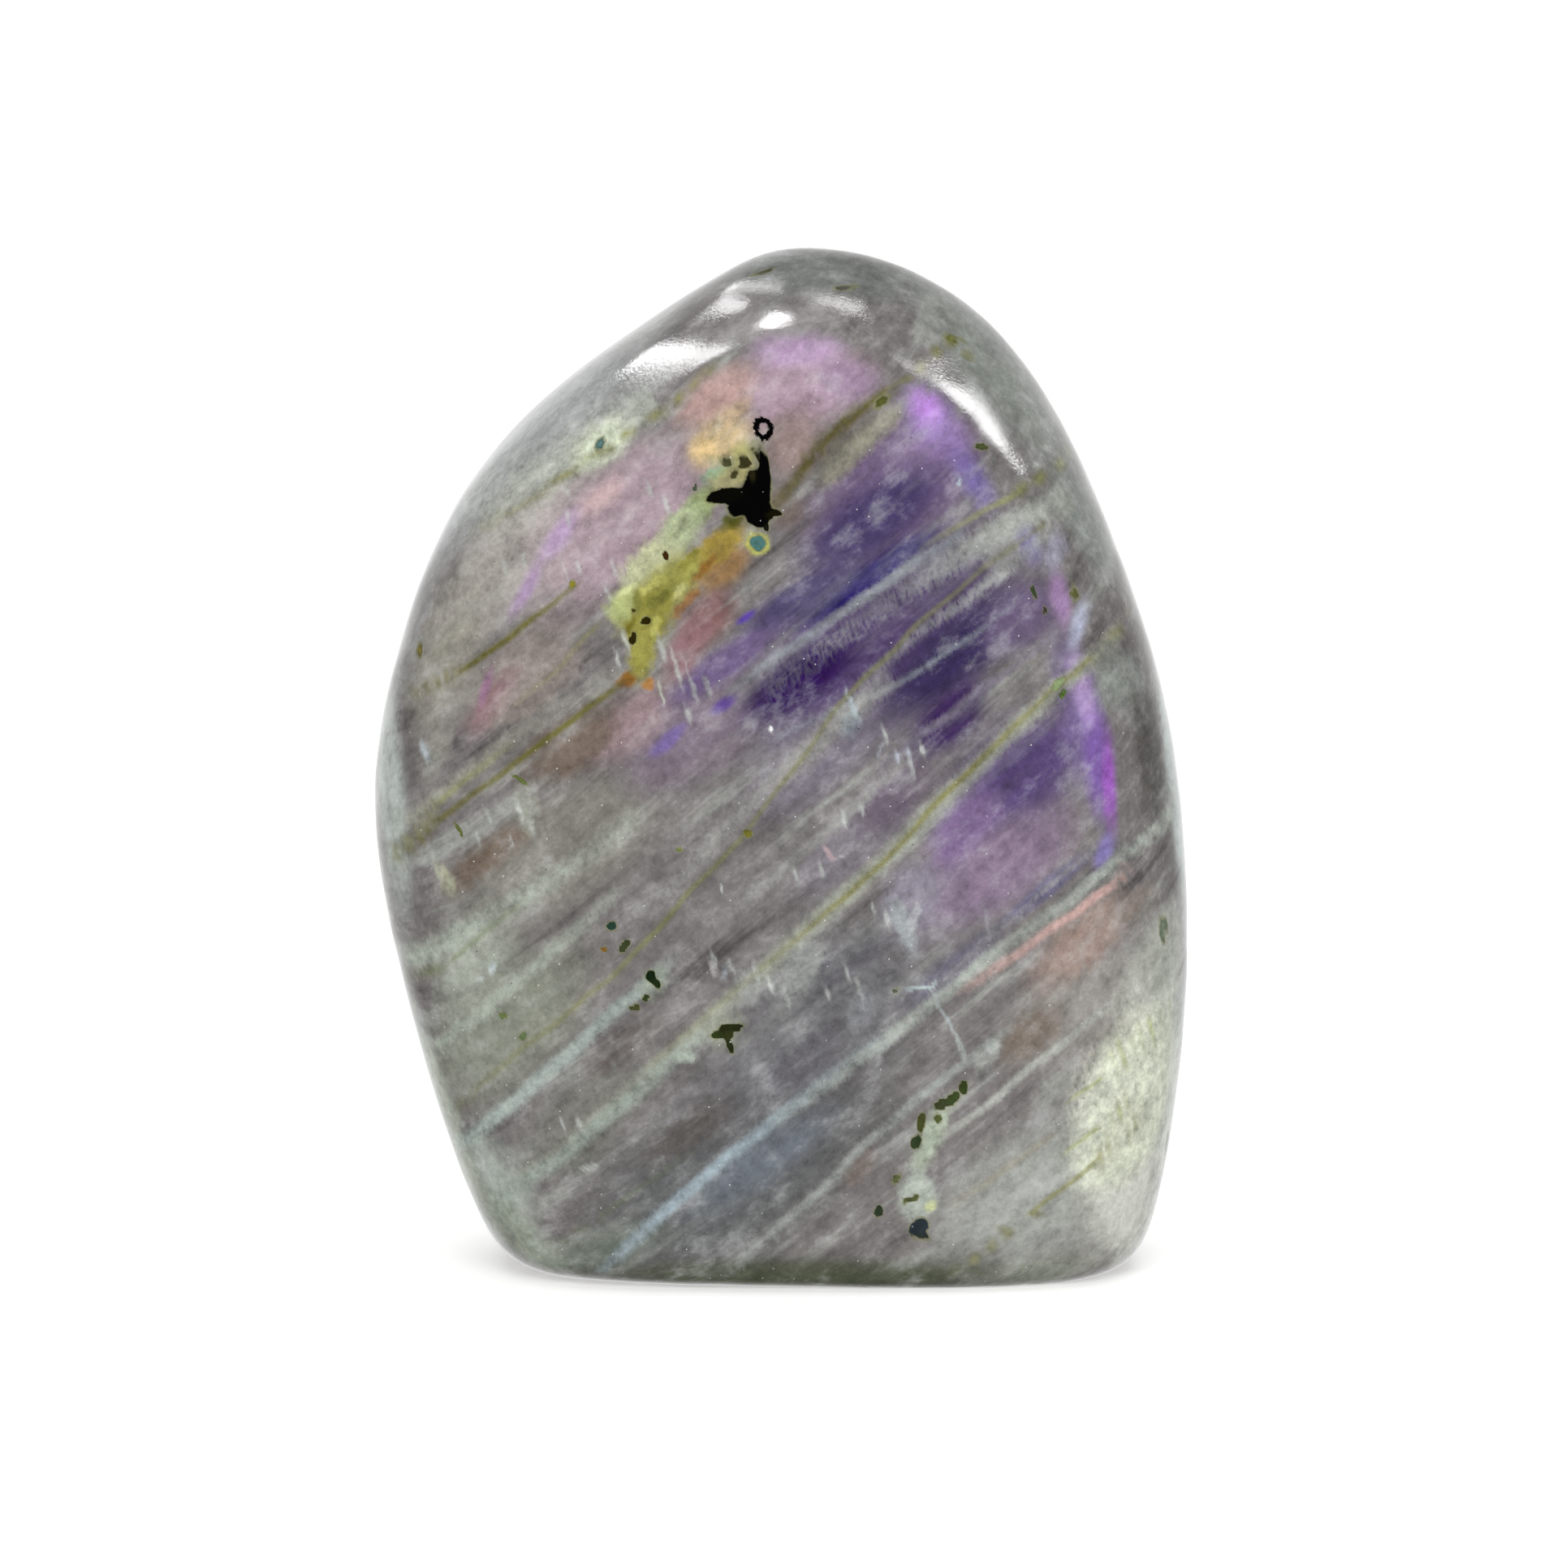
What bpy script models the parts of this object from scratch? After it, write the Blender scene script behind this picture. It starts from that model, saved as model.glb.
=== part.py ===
"""A polished labradorite freeform: one solid stone, hand ground to soft faces, that stands on a flat.

The stone is measured from its heart, a point inside it. Its outline, seen from the front, and its
thickness give a plump slab. Each grinding face then trims that slab, and the faces melt into each
other as tumbling leaves them. Lengths are in millimetres until the mesh is made.
"""

import math

import bmesh
import bpy
import numpy as np
from mathutils import Matrix

MM = 0.001
FULL_TURN = 2 * math.pi

# Driving dimensions
HEART_HEIGHT = 36.0
HALF_THICKNESS_FRONT = 17.6
HALF_THICKNESS_BACK = 17.0
SLAB_ROUNDNESS = 3.0
FACE_SOFTNESS = 18.0
BASE_SOFTNESS = 20.0
BASE_GROUND_BELOW_FLAT = 0.7
GRID_PER_CUBE_SIDE = 27

# The outline seen from the front as (x, z), clockwise from the crown. It closes below the flat.
OUTLINE = [
    (1.5, 80.2),
    (6.7, 80.3),
    (13.2, 77.4),
    (19.6, 70.9),
    (25.8, 57.8),
    (29.7, 45.0),
    (31.7, 30.5),
    (31.4, 15.0),
    (29.9, 5.5),
    (26.7, -3.2),
    (9.0, -9.5),
    (-8.0, -9.0),
    (-18.4, -3.8),
    (-22.2, 3.0),
    (-24.8, 10.0),
    (-28.5, 23.0),
    (-30.6, 37.0),
    (-28.4, 49.0),
    (-23.7, 60.0),
    (-17.4, 67.0),
    (-10.6, 71.9),
    (-4.0, 76.6),
]

# Each ground face as its name, the way it faces (x, y, z), and its distance from the heart
GROUND_FACES = [
    ("front", (-0.01, -1.00, 0.13), 16.3),
    ("back", (0.10, 1.00, 0.22), 15.6),
    ("left shoulder", (-0.56, -0.56, 0.62), 33.5),
    ("right shoulder", (0.62, -0.56, 0.55), 32.0),
    ("crown front", (0.08, -0.62, 0.78), 36.0),
    ("crown left", (-0.36, -0.40, 0.84), 39.5),
    ("back left", (-0.66, 0.72, 0.20), 26.5),
    ("back right", (0.64, 0.74, 0.22), 27.0),
    ("back crown", (0.05, 0.70, 0.72), 32.5),
    ("back heel", (0.12, 0.86, -0.50), 26.0),
]

# The slow swells that a hand leaves: height, waves per metre along (x, y, z), and the turn at the heart
SWELLS = [
    (0.22, (14.0, 7.5, 6.5), 0.4),
    (0.18, (-9.0, 10.0, 15.0), 2.1),
    (0.14, (22.0, -12.0, 19.0), 4.0),
]

SHARP_EDGE = math.radians(30)
STONE_COLOUR = (0.30, 0.30, 0.29, 1.0)
STONE_ROUGHNESS = 0.12


def outline_radius(angles):
    """How far the outline is from the heart at each angle: a closed cubic spline through OUTLINE."""
    points = sorted((math.atan2(z - HEART_HEIGHT, x), math.hypot(x, z - HEART_HEIGHT)) for x, z in OUTLINE)
    knots = np.array([angle for angle, _ in points])
    radii = np.array([radius for _, radius in points])
    count = len(points)
    gaps = np.diff(np.append(knots, knots[0] + FULL_TURN))
    slopes = (np.roll(radii, -1) - radii) / gaps

    bend_of = np.zeros((count, count))
    for i in range(count):
        bend_of[i, i - 1] = gaps[i - 1]
        bend_of[i, i] = 2 * (gaps[i - 1] + gaps[i])
        bend_of[i, (i + 1) % count] = gaps[i]
    bends = np.linalg.solve(bend_of, 6 * (slopes - np.roll(slopes, 1)))

    turned = (angles - knots[0]) % FULL_TURN + knots[0]
    left = np.clip(np.searchsorted(knots, turned, side="right") - 1, 0, count - 1)
    right = (left + 1) % count
    gap = gaps[left]
    before = (turned - knots[left]) / gap
    after = 1 - before
    curved = (after**3 - after) * bends[left] + (before**3 - before) * bends[right]
    return after * radii[left] + before * radii[right] + curved * gap**2 / 6


def surface_distance(ways):
    """How far the stone's surface is from its heart along each unit vector in ways."""
    x, y, z = ways.T
    half_thickness = np.where(y < 0, HALF_THICKNESS_FRONT, HALF_THICKNESS_BACK)
    across = np.hypot(x, z) / outline_radius(np.arctan2(z, x))
    slab = (across**SLAB_ROUNDNESS + np.abs(y / half_thickness) ** SLAB_ROUNDNESS) ** (1 / SLAB_ROUNDNESS)

    trims = slab**FACE_SOFTNESS
    for _, facing, distance in GROUND_FACES:
        facing = np.array(facing) / np.linalg.norm(facing)
        trims += np.maximum(0, ways @ facing / distance) ** FACE_SOFTNESS
    body = trims ** (1 / FACE_SOFTNESS)

    base = np.maximum(0, -z / (HEART_HEIGHT + BASE_GROUND_BELOW_FLAT))
    closeness = (body**BASE_SOFTNESS + base**BASE_SOFTNESS) ** (1 / BASE_SOFTNESS)
    distance = 1 / closeness

    surface = ways * distance[:, None] * MM
    for height, waves, start in SWELLS:
        distance = distance + height * np.sin(surface @ np.array(waves) * FULL_TURN + start)
    return distance


def cube_grid():
    """An even grid over a cube, which has no poles to pinch the polish."""
    mesh = bmesh.new()
    bmesh.ops.create_cube(mesh, size=2.0)
    bmesh.ops.subdivide_edges(mesh, edges=mesh.edges[:], cuts=GRID_PER_CUBE_SIDE, use_grid_fill=True)
    return mesh


def shape_stone(mesh):
    """Moves the grid's points out to the surface of the stone, and centres it over the origin.

    The tangent gives every square of a cube's face about the same angle, seen from its middle.
    """
    cube = np.array([vertex.co for vertex in mesh.verts])
    even = np.tan(cube * FULL_TURN / 8)
    half_width = max(x for x, _ in OUTLINE)
    ways = even * np.array([half_width, HALF_THICKNESS_FRONT, HEART_HEIGHT])
    ways /= np.linalg.norm(ways, axis=1)[:, None]
    surface = ways * surface_distance(ways)[:, None]
    surface[:, 2] += HEART_HEIGHT
    middle = (surface.max(0) + surface.min(0)) / 2
    surface[:, :2] -= middle[:2]
    for vertex, place in zip(mesh.verts, surface):
        vertex.co = place * MM


def lap_base_flat(mesh):
    """Cuts the stone level at height zero and closes it with the flat that it stands on."""
    everything = mesh.verts[:] + mesh.edges[:] + mesh.faces[:]
    bmesh.ops.bisect_plane(mesh, geom=everything, plane_co=(0, 0, 0), plane_no=(0, 0, 1), clear_inner=True)
    rim = [edge for edge in mesh.edges if edge.is_boundary]
    bmesh.ops.contextual_create(mesh, geom=rim)
    bmesh.ops.recalc_face_normals(mesh, faces=mesh.faces[:])


def stone_material():
    material = bpy.data.materials.new("polished_labradorite")
    material.use_nodes = True
    shader = material.node_tree.nodes["Principled BSDF"]
    shader.inputs["Base Color"].default_value = STONE_COLOUR
    shader.inputs["Roughness"].default_value = STONE_ROUGHNESS
    shader.inputs["Metallic"].default_value = 0.0
    return material


def make_stone(collection):
    grid = cube_grid()
    shape_stone(grid)
    lap_base_flat(grid)
    mesh = bpy.data.meshes.new("stone")
    grid.to_mesh(mesh)
    grid.free()
    mesh.shade_smooth()
    mesh.set_sharp_from_angle(angle=SHARP_EDGE)
    mesh.materials.append(stone_material())
    stone = bpy.data.objects.new("stone", mesh)
    stone.matrix_world = Matrix.Identity(4)
    collection.objects.link(stone)
    return stone


def main():
    for old in list(bpy.data.objects):
        bpy.data.objects.remove(old)
    collection = bpy.data.collections.new("labradorite_freeform")
    bpy.context.scene.collection.children.link(collection)
    make_stone(collection)


main()
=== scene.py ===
# %% [markdown]
# # A polished labradorite freeform
#
# The object is one stone, about 78 mm tall. It was ground by hand to soft faces, cut flat below so that
# it stands, and polished until it mirrors a lamp. Inside, thin layers of feldspar lie one on another,
# and where light runs between them the stone flashes violet, blue and pink.
#
# The shape comes first here. Then each point of it is painted, and a material reads the paint and adds
# what is finer. The studio comes last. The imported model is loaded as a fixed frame, so the stone stands
# where the solid stands.

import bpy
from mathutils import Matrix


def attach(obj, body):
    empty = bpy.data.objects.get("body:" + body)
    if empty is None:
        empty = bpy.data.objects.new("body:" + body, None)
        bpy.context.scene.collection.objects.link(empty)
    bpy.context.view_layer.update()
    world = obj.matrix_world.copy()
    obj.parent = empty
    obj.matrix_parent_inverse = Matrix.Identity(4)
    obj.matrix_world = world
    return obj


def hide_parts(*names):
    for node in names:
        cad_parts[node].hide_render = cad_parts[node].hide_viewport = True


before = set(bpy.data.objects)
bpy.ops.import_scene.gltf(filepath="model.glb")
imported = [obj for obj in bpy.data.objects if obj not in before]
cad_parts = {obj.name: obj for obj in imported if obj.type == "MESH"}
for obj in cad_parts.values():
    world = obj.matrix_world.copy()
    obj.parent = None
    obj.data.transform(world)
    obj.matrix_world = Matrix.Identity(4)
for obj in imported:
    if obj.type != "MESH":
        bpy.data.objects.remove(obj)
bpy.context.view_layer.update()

# %% [markdown]
# ## The camera
#
# A photograph of a small thing is taken from about half a metre with a long lens, a little above the
# table. A camera can be turned to a target with a constraint, or placed by numbers. Numbers are better
# here, because the same numbers later turn a pixel of the photograph into a place on the stone.

# %% The camera, from the frame of the photograph
import math

import bmesh
import bpy
import numpy as np
from mathutils import Euler, Vector
from mathutils import noise as cloud
from mathutils.bvhtree import BVHTree

MM = 0.001
FULL_TURN = 2 * math.pi
PHOTO_WIDTH, PHOTO_HEIGHT = 1929, 1932
PIXELS_PER_MM = 16.0
SENSOR_MM = 36.0
CAMERA_DISTANCE = 500.0
CAMERA_ABOVE_TABLE = math.radians(6)
AIM = Vector((0.1, 0.0, 37.1))

looking = Vector((0, math.cos(CAMERA_ABOVE_TABLE), -math.sin(CAMERA_ABOVE_TABLE)))
camera_right = Vector((1, 0, 0))
camera_up = camera_right.cross(looking)
camera_place = AIM - looking * CAMERA_DISTANCE

camera = bpy.data.objects.new("camera", bpy.data.cameras.new("camera"))
camera.location = camera_place * MM
camera.rotation_euler = (FULL_TURN / 4 - CAMERA_ABOVE_TABLE, 0, 0)
camera.data.sensor_width = SENSOR_MM
camera.data.lens = SENSOR_MM * PIXELS_PER_MM * CAMERA_DISTANCE / PHOTO_HEIGHT
camera.data.clip_start = CAMERA_DISTANCE * MM / 10
bpy.context.scene.collection.objects.link(camera)
bpy.context.scene.camera = camera
print("lens:", round(camera.data.lens, 1), "mm")

# %% [markdown]
# ## The form of the stone
#
# The real stone was a rough lump, ground on a wheel face by face and then rounded. A sculpted mesh or
# a subdivided cage could make such a form. A formula is closer to the grinding: from the heart of the
# stone, each direction meets the outline, the two wide sides, the ground faces and the base at some
# distance, and the nearest of them wins, softly. The values are those of the solid, so the fine mesh
# fills the solid exactly.

# %% The outline, as a closed curve through a few points
HEART_HEIGHT = 36.0
OUTLINE = [
    (1.5, 80.2),
    (6.7, 80.3),
    (13.2, 77.4),
    (19.6, 70.9),
    (25.8, 57.8),
    (29.7, 45.0),
    (31.7, 30.5),
    (31.4, 15.0),
    (29.9, 5.5),
    (26.7, -3.2),
    (9.0, -9.5),
    (-8.0, -9.0),
    (-18.4, -3.8),
    (-22.2, 3.0),
    (-24.8, 10.0),
    (-28.5, 23.0),
    (-30.6, 37.0),
    (-28.4, 49.0),
    (-23.7, 60.0),
    (-17.4, 67.0),
    (-10.6, 71.9),
    (-4.0, 76.6),
]


def outline_radius(angles):
    """How far the outline is from the heart at each angle: a closed cubic spline through OUTLINE."""
    points = sorted((math.atan2(z - HEART_HEIGHT, x), math.hypot(x, z - HEART_HEIGHT)) for x, z in OUTLINE)
    knots = np.array([angle for angle, _ in points])
    radii = np.array([radius for _, radius in points])
    count = len(points)
    gaps = np.diff(np.append(knots, knots[0] + FULL_TURN))
    slopes = (np.roll(radii, -1) - radii) / gaps

    bend_of = np.zeros((count, count))
    for i in range(count):
        bend_of[i, i - 1] = gaps[i - 1]
        bend_of[i, i] = 2 * (gaps[i - 1] + gaps[i])
        bend_of[i, (i + 1) % count] = gaps[i]
    bends = np.linalg.solve(bend_of, 6 * (slopes - np.roll(slopes, 1)))

    turned = (angles - knots[0]) % FULL_TURN + knots[0]
    left = np.clip(np.searchsorted(knots, turned, side="right") - 1, 0, count - 1)
    right = (left + 1) % count
    gap = gaps[left]
    before = (turned - knots[left]) / gap
    after = 1 - before
    curved = (after**3 - after) * bends[left] + (before**3 - before) * bends[right]
    return after * radii[left] + before * radii[right] + curved * gap**2 / 6


print("outline points:", len(OUTLINE))

# %% The slab, its ground faces, the base and the swells that a hand leaves
HALF_THICKNESS_FRONT = 17.6
HALF_THICKNESS_BACK = 17.0
SLAB_ROUNDNESS = 3.0
FACE_SOFTNESS = 18.0
BASE_SOFTNESS = 20.0
BASE_GROUND_BELOW_FLAT = 0.7
GROUND_FACES = [
    ("front", (-0.01, -1.00, 0.13), 16.3),
    ("back", (0.10, 1.00, 0.22), 15.6),
    ("left shoulder", (-0.56, -0.56, 0.62), 33.5),
    ("right shoulder", (0.62, -0.56, 0.55), 32.0),
    ("crown front", (0.08, -0.62, 0.78), 36.0),
    ("crown left", (-0.36, -0.40, 0.84), 39.5),
    ("back left", (-0.66, 0.72, 0.20), 26.5),
    ("back right", (0.64, 0.74, 0.22), 27.0),
    ("back crown", (0.05, 0.70, 0.72), 32.5),
    ("back heel", (0.12, 0.86, -0.50), 26.0),
]
SWELLS = [
    (0.22, (14.0, 7.5, 6.5), 0.4),
    (0.18, (-9.0, 10.0, 15.0), 2.1),
    (0.14, (22.0, -12.0, 19.0), 4.0),
]


def surface_distance(ways):
    """How far the stone's surface is from its heart along each unit vector in ways."""
    x, y, z = ways.T
    half_thickness = np.where(y < 0, HALF_THICKNESS_FRONT, HALF_THICKNESS_BACK)
    across = np.hypot(x, z) / outline_radius(np.arctan2(z, x))
    slab = (across**SLAB_ROUNDNESS + np.abs(y / half_thickness) ** SLAB_ROUNDNESS) ** (1 / SLAB_ROUNDNESS)

    trims = slab**FACE_SOFTNESS
    for _, facing, distance in GROUND_FACES:
        facing = np.array(facing) / np.linalg.norm(facing)
        trims += np.maximum(0, ways @ facing / distance) ** FACE_SOFTNESS
    body = trims ** (1 / FACE_SOFTNESS)

    base = np.maximum(0, -z / (HEART_HEIGHT + BASE_GROUND_BELOW_FLAT))
    closeness = (body**BASE_SOFTNESS + base**BASE_SOFTNESS) ** (1 / BASE_SOFTNESS)
    distance = 1 / closeness

    surface = ways * distance[:, None] * MM
    for height, waves, start in SWELLS:
        distance = distance + height * np.sin(surface @ np.array(waves) * FULL_TURN + start)
    return distance


print("ground faces:", len(GROUND_FACES))

# %% [markdown]
# ## The fine mesh
#
# A sphere from rings has poles, where a polish shows every pinch. A cube cut into an even grid and
# blown up to the stone has none. The wheel also leaves ripples of a few hundredths of a millimetre,
# too shallow to see but enough to make a highlight wander, so the grid takes those too.

# %% The stone's mesh
GRID_PER_CUBE_SIDE = 66
FRONT_OF_CUBE = -0.999
FRONT_CUTS = 3
SHARP_EDGE = math.radians(30)
RIPPLE_DEPTH = 0.010
RIPPLES = [
    (1.0, (0.13, 0.09, 0.05), 0.7),
    (0.9, (-0.06, 0.11, 0.15), 2.9),
    (0.7, (0.19, -0.08, -0.16), 5.1),
    (0.5, (-0.24, 0.17, 0.21), 1.3),
]


def ripple(surface):
    """The shallow ripples of the polishing wheel: height, waves per millimetre, and start."""
    turns = [(height, surface @ np.array(waves) * FULL_TURN + start) for height, waves, start in RIPPLES]
    return RIPPLE_DEPTH * sum(height * np.sin(turn) for height, turn in turns)


def fine_grid():
    grid = bmesh.new()
    bmesh.ops.create_cube(grid, size=2.0)
    bmesh.ops.subdivide_edges(grid, edges=grid.edges[:], cuts=GRID_PER_CUBE_SIDE, use_grid_fill=True)
    front = [face for face in grid.faces if face.calc_center_median().y < FRONT_OF_CUBE]
    front_edges = {edge for face in front for edge in face.edges}
    bmesh.ops.subdivide_edges(grid, edges=list(front_edges), cuts=FRONT_CUTS, use_grid_fill=True)
    cube = np.array([vertex.co for vertex in grid.verts])
    ways = np.tan(cube * FULL_TURN / 8) * (max(x for x, _ in OUTLINE), HALF_THICKNESS_FRONT, HEART_HEIGHT)
    ways /= np.linalg.norm(ways, axis=1)[:, None]
    surface = ways * surface_distance(ways)[:, None]
    surface += ways * (ripple(surface) - RIPPLE_DEPTH)[:, None]
    surface[:, 2] += HEART_HEIGHT
    surface[:, :2] -= (surface.max(0)[:2] + surface.min(0)[:2]) / 2
    for vertex, place in zip(grid.verts, surface):
        vertex.co = place * MM
    return grid


def lap_base_flat(grid):
    """Cuts the stone level at height zero and closes it with the flat that it stands on."""
    everything = grid.verts[:] + grid.edges[:] + grid.faces[:]
    bmesh.ops.bisect_plane(grid, geom=everything, plane_co=(0, 0, 0), plane_no=(0, 0, 1), clear_inner=True)
    bmesh.ops.contextual_create(grid, geom=[edge for edge in grid.edges if edge.is_boundary])
    bmesh.ops.recalc_face_normals(grid, faces=grid.faces[:])


grid = fine_grid()
lap_base_flat(grid)
skin = BVHTree.FromBMesh(grid)
mesh = bpy.data.meshes.new("polished_stone")
grid.to_mesh(mesh)
grid.free()
mesh.shade_smooth()
mesh.set_sharp_from_angle(angle=SHARP_EDGE)
stone = bpy.data.objects.new("polished_stone", mesh)
bpy.context.scene.collection.objects.link(stone)
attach(stone, "root")
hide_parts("stone")
print("stone:", len(mesh.vertices), "points,", len(mesh.polygons), "faces")

# %% [markdown]
# ## From a pixel to a place
#
# Every marking below is placed on the photograph, as a pixel of its 1929 by 1932 frame. The camera's
# numbers turn that pixel into a ray, and the ray meets the stone's skin. From then on the marking is a
# place inside the stone, so it stays put when the stone is seen from the side.

# %% Casting a pixel onto the stone
def on_stone(pixel):
    """Where the camera's ray through a pixel meets the stone, in mm, and the way the skin faces."""
    across = (pixel[0] - PHOTO_WIDTH / 2) / (PIXELS_PER_MM * CAMERA_DISTANCE)
    down = (pixel[1] - PHOTO_HEIGHT / 2) / (PIXELS_PER_MM * CAMERA_DISTANCE)
    ray = (looking + camera_right * across - camera_up * down).normalized()
    place, facing, _, _ = skin.ray_cast(camera_place * MM, ray)
    if place is None:
        raise ValueError(f"pixel {pixel} misses the stone")
    return place / MM, facing


print("middle of the face, mm:", [round(c, 1) for c in on_stone((960, 960))[0]])

# %% [markdown]
# ## Where a marking lies inside the stone
#
# The markings of a stone run through it, so they are worked out from places in millimetres, never from
# a picture laid on the skin. Each marking could be shader nodes, but hundreds of them are more than
# one shader holds. The front of the mesh has a point every quarter of a millimetre, about the width of
# the finest thread, so each point can carry its own paint. Four kinds of places are enough for it.
# Calm ones hardly move. Torn ones are shifted by a fine noise, for patches that crumble, and bent ones
# half as far, for grains and flecks. Feathered ones are shifted along the steep cleavage of the
# feldspar, for windows with comb-like edges. The noise takes its start from the clock unless it gets a
# seed, so it gets one here, and every run paints the same stone.

# %% Calm, torn, bent and feathered places
LAYER_TURN = Euler((math.radians(14), math.radians(-39), 0))
CLEAVAGE_TURN = Euler((0, math.radians(-106), 0))
HEART = Vector((0, 0, HEART_HEIGHT))
CALM_SHIFT, CALM_SIZE = 0.20, 3.0
TEAR_SHIFT, TEAR_SIZE = 0.30, 0.6
FEATHER_SHIFT, FEATHER_SIZE = 0.6, (2.0, 1.0, 0.5)
DRIFT_SEED = 7

cloud.seed_set(DRIFT_SEED)
points = np.array([vertex.co for vertex in mesh.vertices]) / MM


def in_axes(turn, places, start=HEART):
    """Places in axes turned by Euler angles: along, into the stone, and across."""
    return (places - np.array(start)) @ np.array(turn.to_matrix())


def drift(places, size):
    """A shift for each place that changes slowly, over about a size."""
    return np.array([cloud.noise_vector(Vector(place) / size) for place in places])


comb = [cloud.noise(Vector(place)) for place in in_axes(CLEAVAGE_TURN, points) / FEATHER_SIZE]
calm = points + CALM_SHIFT * drift(points, CALM_SIZE)
torn = points + TEAR_SHIFT * drift(points, TEAR_SIZE)
bent = (calm + torn) / 2
feathered = calm + FEATHER_SHIFT * np.outer(comb, CLEAVAGE_TURN.to_matrix().col[0])
print("painted points:", len(points))

# %% [markdown]
# ## Lenses and strands
#
# A marking is a mask and a colour. A lens is a stretched ball with soft edges, good for patches, glows
# and grains. A strand follows a line of pixels along the layers, with a strength at each of them, so a
# long bent vein is one short list. Because both are solid, the layers run on through the stone and come
# out on its other side.

# %% Soft steps, lenses and strands
FACE_PIXEL = 1 / 16.5
STRAND_FADE = 1.2
STRAND_SMOOTHINGS = 2
STRAND_CORE = 1.1
LENS_DEPTH = 6.0


def soft_step(share):
    """0 up to a share of 0, 1 from a share of 1, and a soft rise between."""
    share = np.clip(share, 0, 1)
    return share * share * (3 - 2 * share)


def through(places, knots, values):
    """A smooth curve through a value at each knot, level beyond its ends."""
    slopes = np.gradient(values, knots)
    left = np.clip(np.searchsorted(knots, places) - 1, 0, len(knots) - 2)
    gap = knots[left + 1] - knots[left]
    share = np.clip((places - knots[left]) / gap, 0, 1)
    rise = values[left] + (values[left + 1] - values[left]) * soft_step(share)
    return rise + gap * share * (1 - share) * (slopes[left] * (1 - share) - slopes[left + 1] * share)


def lens(where, centre, half_long, half_wide, rise, core, depth):
    """A soft stretched ball, full inside its core, a share of its size. Sizes are in pixels."""
    near = in_axes(Euler((0, math.radians(-rise), 0)), where, centre)
    near /= half_long * FACE_PIXEL, depth, half_wide * FACE_PIXEL
    return soft_step((1 - np.linalg.norm(near, axis=1)) / (1 - core))


def strand(where, line, thickness):
    """A line through pixels, each with its strength. Its thickness, from the middle out, is in pixels."""
    places = in_axes(LAYER_TURN, np.array([on_stone(pixel)[0] for *pixel, _ in line]))
    runs = np.array(sorted((place[0], place[2], strength) for place, (*_, strength) in zip(places, line)))
    knots, heights, strengths = runs.T
    for _ in range(STRAND_SMOOTHINGS):
        heights[1:-1] = (heights[:-2] + 2 * heights[1:-1] + heights[2:]) / 4
    along, _, across = in_axes(LAYER_TURN, where).T
    ends = [knots[0] - STRAND_FADE, *knots, knots[-1] + STRAND_FADE]
    strength = np.interp(along, ends, [0, *strengths, 0])
    off = np.abs(across - through(along, knots, heights)) / (thickness * FACE_PIXEL)
    return soft_step(STRAND_CORE * (1 - off)) * strength


print("a pixel on the face is", round(FACE_PIXEL, 3), "mm")

# %% [markdown]
# ## Colours as the eye meets them, laid in coats
#
# It is easiest to name a colour as it shows in the photograph, from 0 to 255. That is not quite the
# stone's own colour: the light may be stronger or weaker, and the polish lays a little white over it.
# A helper takes the polish off and divides by the light, so that the stone shows the named colour in
# this studio. A coat of paint is kept on the mesh as a colour and a strength for each point, for the
# shader to read.

# %% From a colour as seen to the stone's own colour, and a coat of paint
LIGHT_ON_FACE = 1.0
POLISH_ON_FACE = 0.004
THINNEST = 0.03


def linear(shown):
    """The share of light behind a 0 to 255 display value."""
    share = shown / 255
    return share / 12.92 if share <= 0.04045 else ((share + 0.055) / 1.055) ** 2.4


def seen(*shown):
    return np.array([max(0.0, (linear(s) - POLISH_ON_FACE) / LIGHT_ON_FACE) for s in shown])


class Coat:
    """A coat of paint: a colour and a strength for each point of the skin."""

    def __init__(self, name, colour):
        self.name = name
        self.colour = np.tile(seen(*colour), (len(points), 1))
        self.strength = np.zeros(len(points))

    def lay(self, colour, mask):
        self.strength = mask + self.strength * (1 - mask)
        share = mask / np.maximum(self.strength, THINNEST)
        self.colour += share[:, None] * (seen(*colour) - self.colour)

    def lenses(self, lenses, where, core=0.0, depth=LENS_DEPTH):
        """Each lens is a pixel, half its length and width in pixels, its rise, colour and strength."""
        for pixel, half_long, half_wide, rise, colour, most in lenses.values():
            mask = lens(where, on_stone(pixel)[0], half_long, half_wide, rise, core, depth)
            self.lay(colour, most * mask)

    def strands(self, strands, where):
        """Each strand is its line, its thickness in pixels, colour and strength."""
        for line, thickness, colour, most in strands.values():
            self.lay(colour, most * strand(where, line, thickness))

    def keep(self):
        kept = mesh.color_attributes.new(self.name, "FLOAT_COLOR", "POINT")
        kept.data.foreach_set("color", np.column_stack([self.colour, self.strength]).ravel())
        print(self.name, "covers", round(100 * float(np.mean(self.strength > 0.5))), "% of the points")


print("mid grey is", seen(128, 128, 128).round(3))
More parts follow.
